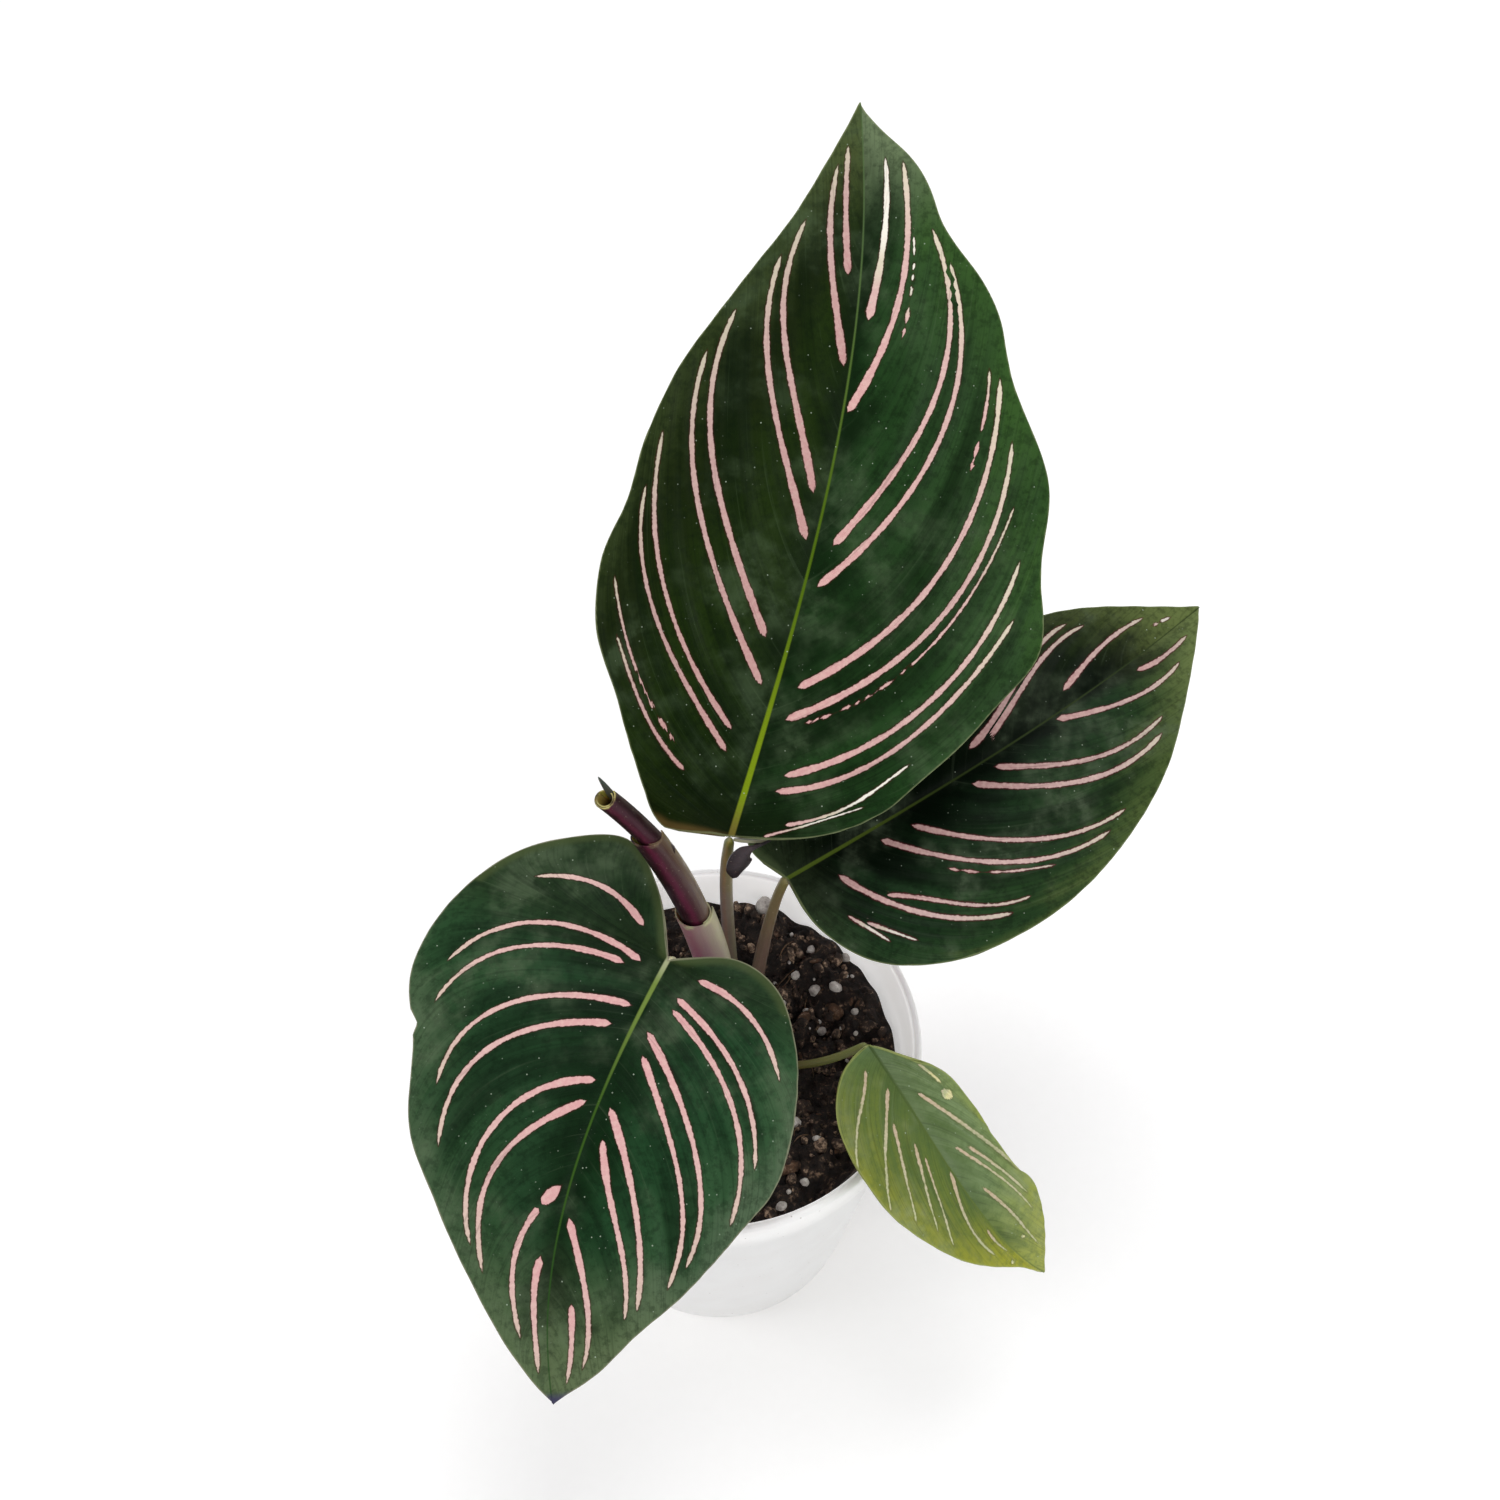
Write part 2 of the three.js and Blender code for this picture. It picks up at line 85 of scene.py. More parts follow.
@dataclass(frozen=True)
class Line:
    """A cubic centre line, through space or on a flat blade.

    Attributes:
        points: The four control points.
    """

    points: tuple[Point, ...] | tuple[Flat, ...]

    def at(self, share: Array) -> Array:
        """Points of the line, carried on straight before its start.

        Args:
            share: Where on the line, 0 at its start and 1 at its end.

        Returns:
            One point for each share.
        """
        a, b, c, d = np.array(self.points, float)
        share = np.asarray(share, float)
        k = np.maximum(share, 0)[..., None]
        back = (share - np.maximum(share, 0))[..., None]
        r = 1 - k
        return r**3 * a + 3 * r * r * k * b + 3 * r * k * k * c + k**3 * d + 3 * (b - a) * back

    def slope(self, share: Array) -> Array:
        """Unit directions of the line.

        Args:
            share: Where on the line, 0 at its start and 1 at its end.

        Returns:
            One direction for each share.
        """
        a, b, c, d = np.array(self.points, float)
        k = np.clip(np.asarray(share, float), 0, 1)[..., None]
        r = 1 - k
        rise = r * r * (b - a) + 2 * r * k * (c - b) + k * k * (d - c)
        return rise / np.linalg.norm(rise, axis=-1, keepdims=True)

    def length(self) -> float:
        """Length of the line."""
        points = self.at(np.linspace(0, 1, 201))
        return float(np.linalg.norm(np.diff(points, axis=0), axis=1).sum())

    def frames(self, shares: Array) -> tuple[Array, Array, Array]:
        """Centres of rings along the line, in order, and the two crosswise directions of each."""
        across = np.array([1.0, 0.0, 0.0])
        firsts = []
        for tangent in self.slope(shares):
            across = across - tangent * across.dot(tangent)
            across = across / np.linalg.norm(across)
            firsts.append(across)
        first = np.array(firsts)
        return self.at(shares), first, np.cross(self.slope(shares), first)


def smoothed(values: Sequence, share: Array) -> Array:
    """Value of an evenly spaced list, smoothed by a Catmull-Rom curve.

    Args:
        values: Numbers, or points of one size.
        share: Where in the list, 0 at its start and 1 at its end.

    Returns:
        One value for each share.
    """
    table = np.array(values, float)
    last = len(table) - 1
    x = np.clip(np.asarray(share, float), 0, 1) * last
    i = np.minimum(x.astype(int), last - 1)
    f = x - i
    if table.ndim > 1:
        f = f[..., None]
    padded = np.concatenate([[2 * table[0] - table[1]], table, [2 * table[last] - table[last - 1]]])
    p, q, r, s = padded[i], padded[i + 1], padded[i + 2], padded[i + 3]
    return 0.5 * (2 * q + (r - p) * f + (2 * p - 5 * q + 4 * r - s) * f**2 + (3 * q - p - 3 * r + s) * f**3)


def eased(value: Array, low: float, high: float) -> Array:
    """0 below low, 1 above high and a smooth step between them."""
    k = np.clip((np.asarray(value, float) - low) / (high - low), 0, 1)
    return k * k * (3 - 2 * k)


def stream(seed: int) -> Callable[[], float]:
    """A repeatable stream of numbers between 0 and 1.

    Args:
        seed: The start of the stream.

    Returns:
        A function that gives the next number.
    """
    factor, span = 16807, 2147483647
    state = [seed]

    def following() -> float:
        """The next number."""
        state[0] = (state[0] * factor) % span
        return state[0] / span

    return following


def linear(colour: Rgb) -> tuple[float, float, float, float]:
    """A screen colour as the shader's own light values, with full alpha."""
    shares = [value / 255 for value in colour]
    return (*[s / 12.92 if s <= 0.04045 else ((s + 0.055) / 1.055) ** 2.4 for s in shares], 1.0)


# Modelling bench


class Bench:
    """Adds primitives, shapes them in edit mode and finishes them."""

    @staticmethod
    def clear() -> None:
        """Leaves edit mode and deselects every object."""
        if bpy.context.object is not None and bpy.context.object.mode != "OBJECT":
            bpy.ops.object.mode_set(mode="OBJECT")
        bpy.ops.object.select_all(action="DESELECT")

    @staticmethod
    def pick(piece: Piece) -> None:
        """Selects one object alone and makes it the active one."""
        Bench.clear()
        piece.select_set(True)
        bpy.context.view_layer.objects.active = piece

    @staticmethod
    def named(name: str) -> Piece:
        """Names the object that was just added."""
        piece = bpy.context.active_object
        piece.name = piece.data.name = name
        return piece

    @staticmethod
    def modify(piece: Piece, kind: str, **settings: object) -> None:
        """Applies a modifier of a type, with its properties."""
        Bench.pick(piece)
        made = piece.modifiers.new(kind.lower(), kind)
        for key, value in settings.items():
            setattr(made, key, value)
        bpy.ops.object.modifier_apply(modifier=made.name)

    @staticmethod
    def grid(name: str, columns: int, rows: int) -> tuple[Piece, Array, Array]:
        """Adds a flat grid to be shaped.

        Args:
            name: The piece's name.
            columns: Faces in the first direction.
            rows: Faces in the second direction.

        Returns:
            The grid, and how far each vertex is along the first and the second direction, 0 to 1.
        """
        Bench.clear()
        bpy.ops.mesh.primitive_grid_add(x_subdivisions=columns, y_subdivisions=rows, size=2)
        piece = Bench.named(name)
        flat = np.zeros(len(piece.data.vertices) * 3)
        piece.data.vertices.foreach_get("co", flat)
        shares = (flat.reshape(-1, 3) + 1) / 2
        return piece, shares[:, 0], shares[:, 1]

    @staticmethod
    def place(piece: Piece, points: Array) -> None:
        """Moves a mesh's vertices to points given in millimetres."""
        piece.data.vertices.foreach_set("co", (points * MM).ravel())
        piece.data.update()

    @staticmethod
    def points(piece: Piece) -> Array:
        """A mesh's vertices in millimetres."""
        flat = np.zeros(len(piece.data.vertices) * 3)
        piece.data.vertices.foreach_get("co", flat)
        return flat.reshape(-1, 3) / MM

    @staticmethod
    def rechart(piece: Piece, chart: Array) -> None:
        """Gives each vertex its own place on the piece's UV map."""
        corners = np.zeros(len(piece.data.loops), np.int32)
        piece.data.loops.foreach_get("vertex_index", corners)
        piece.data.uv_layers.active.data.foreach_set("uv", chart[corners].astype(np.float32).ravel())

    @staticmethod
    def note(piece: Piece, name: str, values: Array) -> None:
        """Keeps three numbers at each vertex for the finish to read."""
        attribute = piece.data.attributes.new(name, "FLOAT_VECTOR", "POINT")
        attribute.data.foreach_set("vector", np.asarray(values, np.float32).ravel())

    @staticmethod
    def weld(piece: Piece, outward: bool = True) -> None:
        """Merges doubled vertices, and turns the faces of a closed mesh outwards.

        Args:
            piece: The mesh.
            outward: Whether the mesh is closed, so that its faces can be turned outwards.
        """
        Bench.pick(piece)
        bpy.ops.object.mode_set(mode="EDIT")
        bpy.ops.mesh.select_all(action="SELECT")
        bpy.ops.mesh.remove_doubles(threshold=1e-6)
        if outward:
            bpy.ops.mesh.normals_make_consistent(inside=False)
        bpy.ops.object.mode_set(mode="OBJECT")

    @staticmethod
    def thicken(piece: Piece, thickness: float, offset: float, second: bool = True) -> None:
        """Gives a sheet its thickness.

        Args:
            piece: The sheet.
            thickness: In millimetres.
            offset: -1 grows inwards from the faces, 0 to both sides.
            second: Whether the far side wears the piece's second finish.
        """
        Bench.modify(
            piece, "SOLIDIFY", thickness=thickness * MM, offset=offset, material_offset=1 if second else 0
        )

    @staticmethod
    def smooth(piece: Piece, degrees: float = 40) -> None:
        """Shades a mesh smooth, apart from edges sharper than an angle."""
        Bench.pick(piece)
        bpy.ops.object.shade_smooth_by_angle(angle=math.radians(degrees))

    @staticmethod
    def join(pieces: Sequence[Piece], name: str) -> Piece:
        """Joins meshes into one, and names the whole."""
        Bench.pick(pieces[0])
        for piece in pieces[1:]:
            piece.select_set(True)
        if len(pieces) > 1:
            bpy.ops.object.join()
        return Bench.named(name)

    @staticmethod
    def wear(piece: Piece, *finishes: Material) -> None:
        """Gives a piece its finishes, in order."""
        piece.data.materials.clear()
        for finish in finishes:
            piece.data.materials.append(finish)

    @staticmethod
    def present(piece: Piece, slot: str, *nodes: str) -> None:
        """Hands a finished piece over to the frame.

        Args:
            piece: The piece, at its place.
            slot: The record's material slot; not used.
            nodes: The nodes that it stands for.
        """
        Bench.clear()
        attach(piece, BODY)
        if nodes:
            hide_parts(*nodes)
        faces = sum(len(polygon.vertices) - 2 for polygon in piece.data.polygons)
        LOG.info("%s: %d triangles, stands for %s", piece.name, faces, ", ".join(nodes) or "nothing")

    @staticmethod
    def tube(
        name: str,
        line: Line,
        radii: Sequence[float],
        depths: Sequence[float] | None = None,
        stretch: tuple[float, float] = (0.0, 1.0),
        sides: int = 20,
        rings: int = 60,
        flutes: tuple[int, float] = (0, 0.0),
    ) -> Piece:
        """A closed tapered rod along a line, with rounded ends.

        Args:
            name: The piece's name.
            line: Its centre line.
            radii: Half-widths, evenly spaced from its start to its end.
            depths: The other half-widths, where it is oval.
            stretch: The part of the line that it follows.
            sides: Faces round it.
            rings: Faces along it.
            flutes: How many shallow grooves run along it, and their depth as a share of its radius.

        Returns:
            The rod.
        """
        piece, around, along = Bench.grid(name, sides, rings)
        ring = np.rint(along * rings).astype(int)
        shares = stretch[0] + (stretch[1] - stretch[0]) * np.linspace(0, 1, rings + 1)
        centres, first, second = line.frames(shares)
        end = np.minimum(np.arange(rings + 1), np.arange(rings + 1)[::-1]) / 3
        closing = np.sqrt(np.clip(1 - (1 - np.clip(end, 0, 1)) ** 2, 0, 1))
        step = np.linspace(0, 1, rings + 1)
        wide = smoothed(radii, step) * closing
        deep = smoothed(depths or radii, step) * closing
        angle = 2 * math.pi * around
        groove = 1 + flutes[1] * np.cos(flutes[0] * angle) if flutes[0] else np.ones_like(angle)
        points = (
            centres[ring]
            + first[ring] * (wide[ring] * groove * np.cos(angle))[:, None]
            + second[ring] * (deep[ring] * groove * np.sin(angle))[:, None]
        )
        Bench.place(piece, points)
        Bench.weld(piece)
        Bench.smooth(piece, 60)
        return piece


# Finishes


class Paint:
    """The node tree of one finish, built up a node at a time."""

    def __init__(self, name: str, **sockets: float | Point) -> None:
        """Starts a finish with a plain shader.

        Args:
            name: The finish's name.
            sockets: Even values of the shader, by socket name with _ for each space.
        """
        self.material = bpy.data.materials.new(name)
        self.material.use_nodes = True
        self.tree = self.material.node_tree
        self.tree.nodes.clear()
        self.shader = self.node("ShaderNodeBsdfPrincipled")
        output = self.node("ShaderNodeOutputMaterial")
        self.tree.links.new(self.shader.outputs["BSDF"], output.inputs["Surface"])
        for socket, value in sockets.items():
            self.shader.inputs[socket.replace("_", " ")].default_value = value

    def node(self, kind: str, **settings: object) -> bpy.types.Node:
        """Adds a node of a type and sets its properties."""
        made = self.tree.nodes.new(kind)
        for key, value in settings.items():
            setattr(made, key, value)
        return made

    def feed(self, target: Socket, source: object) -> None:
        """Links a socket to another one, or sets its value."""
        if isinstance(source, Socket):
            self.tree.links.new(source, target)
        else:
            target.default_value = source

    def place(self, scale: Point = (1, 1, 1), turn: Point = (0, 0, 0)) -> Socket:
        """Object coordinates in millimetres, stretched and turned.

        Args:
            scale: Factor on each axis.
            turn: Turn about each axis, in degrees.

        Returns:
            The vector socket.
        """
        coordinates = self.node("ShaderNodeTexCoord")
        mapping = self.node("ShaderNodeMapping")
        mapping.inputs["Scale"].default_value = [s / MM for s in scale]
        mapping.inputs["Rotation"].default_value = [math.radians(a) for a in turn]
        self.feed(mapping.inputs["Vector"], coordinates.outputs["Object"])
        return mapping.outputs["Vector"]

    def chart(self, scale: Point = (1, 1, 1)) -> Socket:
        """The piece's own UV map, stretched."""
        source = self.node("ShaderNodeUVMap", uv_map="UVMap")
        mapping = self.node("ShaderNodeMapping")
        mapping.inputs["Scale"].default_value = scale
        self.feed(mapping.inputs["Vector"], source.outputs["UV"])
        return mapping.outputs["Vector"]

    def kept(self, name: str) -> tuple[Socket, ...]:
        """The three numbers kept at each vertex under a name."""
        source = self.node("ShaderNodeAttribute", attribute_name=name)
        return self.split(source.outputs["Vector"])

    def split(self, vector: Socket) -> tuple[Socket, ...]:
        """The three parts of a vector."""
        parts = self.node("ShaderNodeSeparateXYZ")
        self.feed(parts.inputs[0], vector)
        return tuple(parts.outputs)

    def noise(
        self, vector: Socket, scale: float = 1, detail: float = 3, rough: float = 0.5
    ) -> Socket:
        """Cloudy noise between 0 and 1.

        Args:
            vector: Where it is read.
            scale: How fine it is.
            detail: How many finer layers it has.
            rough: How strong the finer layers are.

        Returns:
            The value socket.
        """
        made = self.node("ShaderNodeTexNoise")
        made.inputs["Scale"].default_value = scale
        made.inputs["Detail"].default_value = detail
        made.inputs["Roughness"].default_value = rough
        self.feed(made.inputs["Vector"], vector)
        return made.outputs["Fac"]

    def cells(self, vector: Socket, scale: float = 1) -> tuple[Socket, ...]:
        """Distance to the nearest of scattered points, and a colour for each of them."""
        made = self.node("ShaderNodeTexVoronoi")
        made.inputs["Scale"].default_value = scale
        self.feed(made.inputs["Vector"], vector)
        return made.outputs["Distance"], made.outputs["Color"]

    def sum(self, kind: str, first: object, second: object = 0.0, third: object = 0.0) -> Socket:
        """One step of arithmetic.

        Args:
            kind: The operation, as the math node names it.
            first: A socket or a number.
            second: A socket or a number.
            third: A socket or a number.

        Returns:
            The value socket.
        """
        made = self.node("ShaderNodeMath", operation=kind)
        for target, source in zip(made.inputs, (first, second, third)):
            self.feed(target, source)
        return made.outputs[0]

    def times(self, first: object, second: object) -> Socket:
        """The product of two sockets or numbers."""
        return self.sum("MULTIPLY", first, second)

    def sway(self, value: object, waver: Socket, amount: float) -> Socket:
        """A value pushed up and down by a noise."""
        return self.sum("MULTIPLY_ADD", self.sum("SUBTRACT", waver, 0.5), amount, value)

    def step(self, value: object, low: object, high: object, bottom: float = 0, top: float = 1) -> Socket:
        """A smooth step from one value to another.

        Args:
            value: What is measured.
            low: Where the step starts.
            high: Where the step ends.
            bottom: The result below low.
            top: The result above high.

        Returns:
            The value socket.
        """
        made = self.node("ShaderNodeMapRange", interpolation_type="SMOOTHSTEP")
        for target, source in zip(made.inputs, (value, low, high, bottom, top)):
            self.feed(target, source)
        return made.outputs[0]

    def mix(self, share: object, first: object, second: object) -> Socket:
        """A blend of two colours.

        Args:
            share: 0 for the first colour and 1 for the second.
            first: A socket or a screen colour.
            second: A socket or a screen colour.

        Returns:
            The colour socket.
        """
        made = self.node("ShaderNodeMix", data_type="RGBA")
        self.feed(made.inputs[0], share)
        for target, source in ((made.inputs[6], first), (made.inputs[7], second)):
            self.feed(target, linear(source) if isinstance(source, tuple) else source)
        return made.outputs[2]

    def ramp(self, value: Socket, stops: Sequence[tuple[float, Rgb]]) -> Socket:
        """Colours along a value.

        Args:
            value: What is measured.
            stops: Pairs of a value and its screen colour, in order.

        Returns:
            The colour socket.
        """
        made = self.node("ShaderNodeValToRGB")
        made.color_ramp.interpolation = "EASE"
        while len(made.color_ramp.elements) < len(stops):
            made.color_ramp.elements.new(0.5)
        for element, (position, colour) in zip(made.color_ramp.elements, stops):
            element.position = position
            element.color = linear(colour)
        self.feed(made.inputs[0], value)
        return made.outputs[0]

    def relief(self, height: object, depth: float, strength: float = 1.0) -> None:
        """Raises the finish by a height, with the depth that it has at full height."""
        bump = self.node("ShaderNodeBump")
        bump.inputs["Strength"].default_value = strength
        bump.inputs["Distance"].default_value = depth * MM
        self.feed(bump.inputs["Height"], height)
        self.feed(self.shader.inputs["Normal"], bump.outputs["Normal"])

    def done(self, colour: object, roughness: object) -> Material:
        """Links the colour and the roughness, and gives the finish."""
        self.feed(self.shader.inputs["Base Color"], colour)
        self.feed(self.shader.inputs["Roughness"], roughness)
        return self.material


@dataclass(frozen=True)
class BladeFinish:
    """Upper and lower finish of a blade.

    Attributes:
        name: The finish's name.
        left: Colours of the left half at the midrib, a third out, two thirds out and the margin.
        right: The same of the right half.
        deep: Colour of the dark bands between the veins.
        tip: Colour of both halves towards the tip.
        foot: Colour at the base.
        hem: Colour of the strip along the base's edge.
        painted_sheen: Colour of the sheen that is painted on in patches, and how much of it there is.
        rim: Colour of the thin line along the margin.
        rib: Colour of the midrib at its root, just beyond, half way and near the tip.
        rib_widths: Half-widths of the midrib at those places.
        stripe: Colour of a pinstripe at its inner end, half way, at its outer end and where it is bleached;
            the paler outer and bleached colours are partly its own tone and partly painted sheen.
        halo: Colour of the thin line round a pinstripe, and how strongly it shows.
        under: Colour of the lower side, and of its veins.
        vein: How strong the fine veins show.
        tip_start: How far along the tip's colour starts.
        apex: Colour of the very tip, and how far along it starts.
        raised: How far the pinstripes stand up.
        faded: How far the left half's pinstripes have faded.
        gloss: Specular level.
        roughness: Evenness of the shine, low for a sharp one.
    """

    name: str
    left: tuple[Rgb, Rgb, Rgb, Rgb]
    right: tuple[Rgb, Rgb, Rgb, Rgb]
    deep: Rgb
    tip: tuple[Rgb, Rgb]
    foot: Rgb
    hem: Rgb
    painted_sheen: tuple[Rgb, float]
    rim: Rgb
    rib: tuple[Rgb, Rgb, Rgb, Rgb]
    rib_widths: tuple[float, float, float] = (0.5, 0.2, 0.05)
    stripe: tuple[Rgb, ...] = ((200, 152, 150), (200, 162, 158), (198, 186, 168), (232, 230, 224))
    halo: tuple[Rgb, float] = ((56, 14, 12), 0.6)
    under: tuple[Rgb, Rgb] = ((74, 24, 46), (104, 44, 66))
    vein: float = 0.45
    tip_start: float = 0.8
    apex: tuple[Rgb, float] = ((60, 56, 84), 1.1)
    raised: float = 0.0
    faded: float = 0.0
    gloss: float = 0.04
    roughness: float = 0.4

    def upper(self) -> Material:
        """The side with the pinstripes."""
        paint = Paint(f"{self.name}_upper", Specular_IOR_Level=self.gloss)
        _, across, _ = paint.split(paint.chart())
        length_share, from_rib, from_rim = paint.kept("Place")
        numbered, half_width, outward = paint.kept("Stripe")
        aside = paint.sum("ABSOLUTE", paint.sum("SUBTRACT", numbered, paint.sum("ROUND", numbered)))
        offset = paint.times(aside, APART)
        streaks = paint.noise(paint.chart((170, 2.4, 1)), detail=4, rough=0.6)
        bands = paint.noise(paint.chart((21, 1.5, 1)), detail=3)
        clouds = paint.noise(paint.place(), scale=0.07, detail=4, rough=0.55)
        blots = paint.noise(paint.place(), scale=0.24, detail=5, rough=0.6)
        grain = paint.noise(paint.place(), scale=1.7, detail=3)
        mottle = paint.noise(paint.place(), scale=0.7, detail=6, rough=0.7)

        half = paint.sum("ABSOLUTE", paint.sum("MULTIPLY_ADD", across, 2.0, -1.0))
        wander = paint.sway(paint.sway(half, bands, 0.5), clouds, 0.6)
        stops = (0.02, 0.36, 0.7, 1.0)
        left = paint.ramp(wander, list(zip(stops, self.left)))
        right = paint.ramp(wander, list(zip(stops, self.right)))
        side = paint.step(across, 0.485, 0.515)
        colour = paint.mix(side, right, left)
        tip = paint.mix(side, self.tip[1], self.tip[0])
        colour = paint.mix(paint.step(length_share, self.tip_start, 0.98, 0, 0.85), colour, tip)
        colour = paint.mix(paint.step(length_share, 0.12, -0.02, 0, 0.6), colour, self.foot)
        deep = paint.times(paint.step(bands, 0.56, 0.34), paint.step(from_rim, 1.0, 6.0))
        colour = paint.mix(paint.times(deep, 0.6), colour, self.deep)
        colour = paint.mix(paint.step(mottle, 0.56, 0.36, 0, 0.42), colour, self.deep)
        # Painted sheen: grey-green patches laid on the colour where two noises are high, standing for the
        # shine of the light.
        painted_sheen = paint.times(paint.step(clouds, 0.48, 0.66), paint.step(blots, 0.38, 0.62, 0.15, 1))
        colour = paint.mix(paint.times(painted_sheen, self.painted_sheen[1]), colour, self.painted_sheen[0])
        dark_veins = paint.step(streaks, 0.5, 0.36, 0, self.vein)
        colour = paint.mix(dark_veins, colour, paint.mix(0.5, colour, (4, 10, 4)))
        # The pale streaks between the dark veins take the painted sheen's colour.
        pale_veins = paint.step(streaks, 0.58, 0.74, 0, self.vein * 0.3)
        colour = paint.mix(pale_veins, colour, self.painted_sheen[0])
        hem = paint.times(paint.step(from_rim, 1.9, 0.5), paint.step(length_share, 0.008, -0.006))
        colour = paint.mix(paint.times(hem, 0.75), colour, self.hem)

        inside = paint.sum("SUBTRACT", paint.sway(half_width, grain, 0.34), offset)
        colour = paint.mix(paint.step(inside, -0.28, -0.02, 0, self.halo[1]), colour, self.halo[0])
        # Paler towards the outer end: partly the stripe's own tone, partly painted sheen.
        stripe = paint.ramp(outward, list(zip((0.0, 0.48, 0.8, 1.0), self.stripe)))
        worn = paint.step(grain, 0.36, 0.7, 0, 0.3)
        mottled = paint.mix(worn, stripe, (222, 196, 184))
        rubbed = paint.mix(paint.step(streaks, 0.44, 0.34, 0, 0.25), mottled, colour)
        rubbed = paint.mix(paint.times(side, self.faded), rubbed, colour)
        colour = paint.mix(paint.step(inside, -0.06, 0.08), colour, rubbed)

        rib_width = paint.sum(
            "ADD",
            paint.step(length_share, 0.4, -0.02, 0, self.rib_widths[0] - self.rib_widths[1]),
            paint.step(length_share, 0.3, 1.0, self.rib_widths[1], self.rib_widths[2]),
        )
        rib_inside = paint.sum("SUBTRACT", rib_width, from_rib)
        rib = paint.ramp(length_share, list(zip((0.0, 0.07, 0.4, 0.9), self.rib)))
        colour = paint.mix(paint.step(rib_inside, -0.2, 0.1), colour, rib)
        colour = paint.mix(paint.step(from_rim, 0.3, 0.06, 0, 0.6), colour, self.rim)
        apex, start = self.apex
        colour = paint.mix(paint.step(length_share, start, start + 0.02, 0, 0.9), colour, apex)

        near, tint = paint.cells(paint.place(), scale=0.8)
        speck = paint.times(paint.step(near, 0.12, 0.05), paint.step(tint, 0.5, 0.9))
        fine_near, fine_tint = paint.cells(paint.place(), scale=2.1)
        dust = paint.times(paint.step(fine_near, 0.16, 0.06), paint.step(fine_tint, 0.66, 0.9))
        dust = paint.times(dust, paint.step(blots, 0.5, 0.7, 0, 0.6))
        colour = paint.mix(paint.sum("MULTIPLY_ADD", speck, 0.6, dust), colour, (176, 190, 170))

        ridges = paint.noise(paint.chart((74, 1.6, 1)), detail=2)
        height = paint.sum("MULTIPLY_ADD", ridges, 0.8, paint.times(streaks, 0.35))
        height = paint.sum("MULTIPLY_ADD", grain, 0.12, height)
        height = paint.sum("MULTIPLY_ADD", paint.step(inside, -0.5, 0.15), self.raised, height)
        paint.relief(height, 0.16, 0.7)
        rough = paint.step(clouds, 0.3, 0.7, self.roughness - 0.06, self.roughness + 0.1)
        rough = paint.sum("MULTIPLY_ADD", paint.step(inside, -0.05, 0.07), 0.08, rough)
        return paint.done(colour, rough)

    def lower(self) -> Material:
        """The side that faces the ground, with its raised veins."""
        paint = Paint(f"{self.name}_lower", Specular_IOR_Level=0.3, Sheen_Weight=0.12)
        _, from_rib, from_rim = paint.kept("Place")
        streaks = paint.noise(paint.chart((110, 2, 1)), detail=4, rough=0.6)
        clouds = paint.noise(paint.place(), scale=0.09, detail=4)
        grain = paint.noise(paint.place(), scale=2.2, detail=2)
        colour = paint.mix(paint.step(streaks, 0.4, 0.66), self.under[0], self.under[1])
        colour = paint.mix(paint.step(clouds, 0.4, 0.7, 0, 0.5), colour, self.under[0])
        colour = paint.mix(paint.step(from_rib, 3.0, 0.4, 0, 0.55), colour, self.under[1])
        colour = paint.mix(paint.step(from_rim, 0.9, 0.15, 0, 0.6), colour, self.rim)
        paint.relief(paint.sum("MULTIPLY_ADD", grain, 0.3, streaks), 0.14, 0.8)
        return paint.done(colour, paint.step(grain, 0.3, 0.7, 0.52, 0.66))


@dataclass(frozen=True)
class StemFinish:
    """Finish of a stalk, sheath or roll, with colours along it and round it.

    Attributes:
        name: The finish's name.
        along: Pairs of how far up and the colour there.
        around: Pairs of how far round and the colour there.
        around_share: How strongly the colours round it show.
        streak: Colour of the long fibres.
        edge: Colour of the last stretch at the top, and how far up it starts.
        roughness: Evenness of the shine.
        gloss: Specular level.
    """

    name: str
    along: tuple[tuple[float, Rgb], ...]
    around: tuple[tuple[float, Rgb], ...] = ((0.0, (90, 80, 60)), (1.0, (90, 80, 60)))
    around_share: float = 0.0
    streak: Rgb = (60, 40, 34)
    edge: tuple[float, Rgb] | None = None
    roughness: float = 0.42
    gloss: float = 0.4

    def made(self) -> Material:
        """The finish itself."""
        paint = Paint(
            self.name, Specular_IOR_Level=self.gloss, Subsurface_Weight=0.08, Subsurface_Scale=0.001
        )
        round_share, up_share, _ = paint.split(paint.chart())
        fibres = paint.noise(paint.chart((26, 2.5, 1)), detail=4, rough=0.6)
        blots = paint.noise(paint.place(), scale=0.5, detail=4)
        height = paint.sway(up_share, blots, 0.12)
        turned = paint.sway(round_share, blots, 0.06)
        colour = paint.ramp(height, self.along)
        colour = paint.mix(self.around_share, colour, paint.ramp(turned, self.around))
        colour = paint.mix(paint.step(fibres, 0.55, 0.75, 0, 0.5), colour, self.streak)
        if self.edge:
            start, tone = self.edge
            colour = paint.mix(paint.step(height, start, start + 0.03), colour, tone)
        specks = paint.noise(paint.place(), scale=3.0, detail=2)
        colour = paint.mix(paint.step(specks, 0.66, 0.76, 0, 0.3), colour, (190, 178, 150))
        paint.relief(paint.sum("MULTIPLY_ADD", specks, 0.2, fibres), 0.09, 0.7)
        return paint.done(colour, paint.step(blots, 0.3, 0.7, self.roughness - 0.05, self.roughness + 0.12))


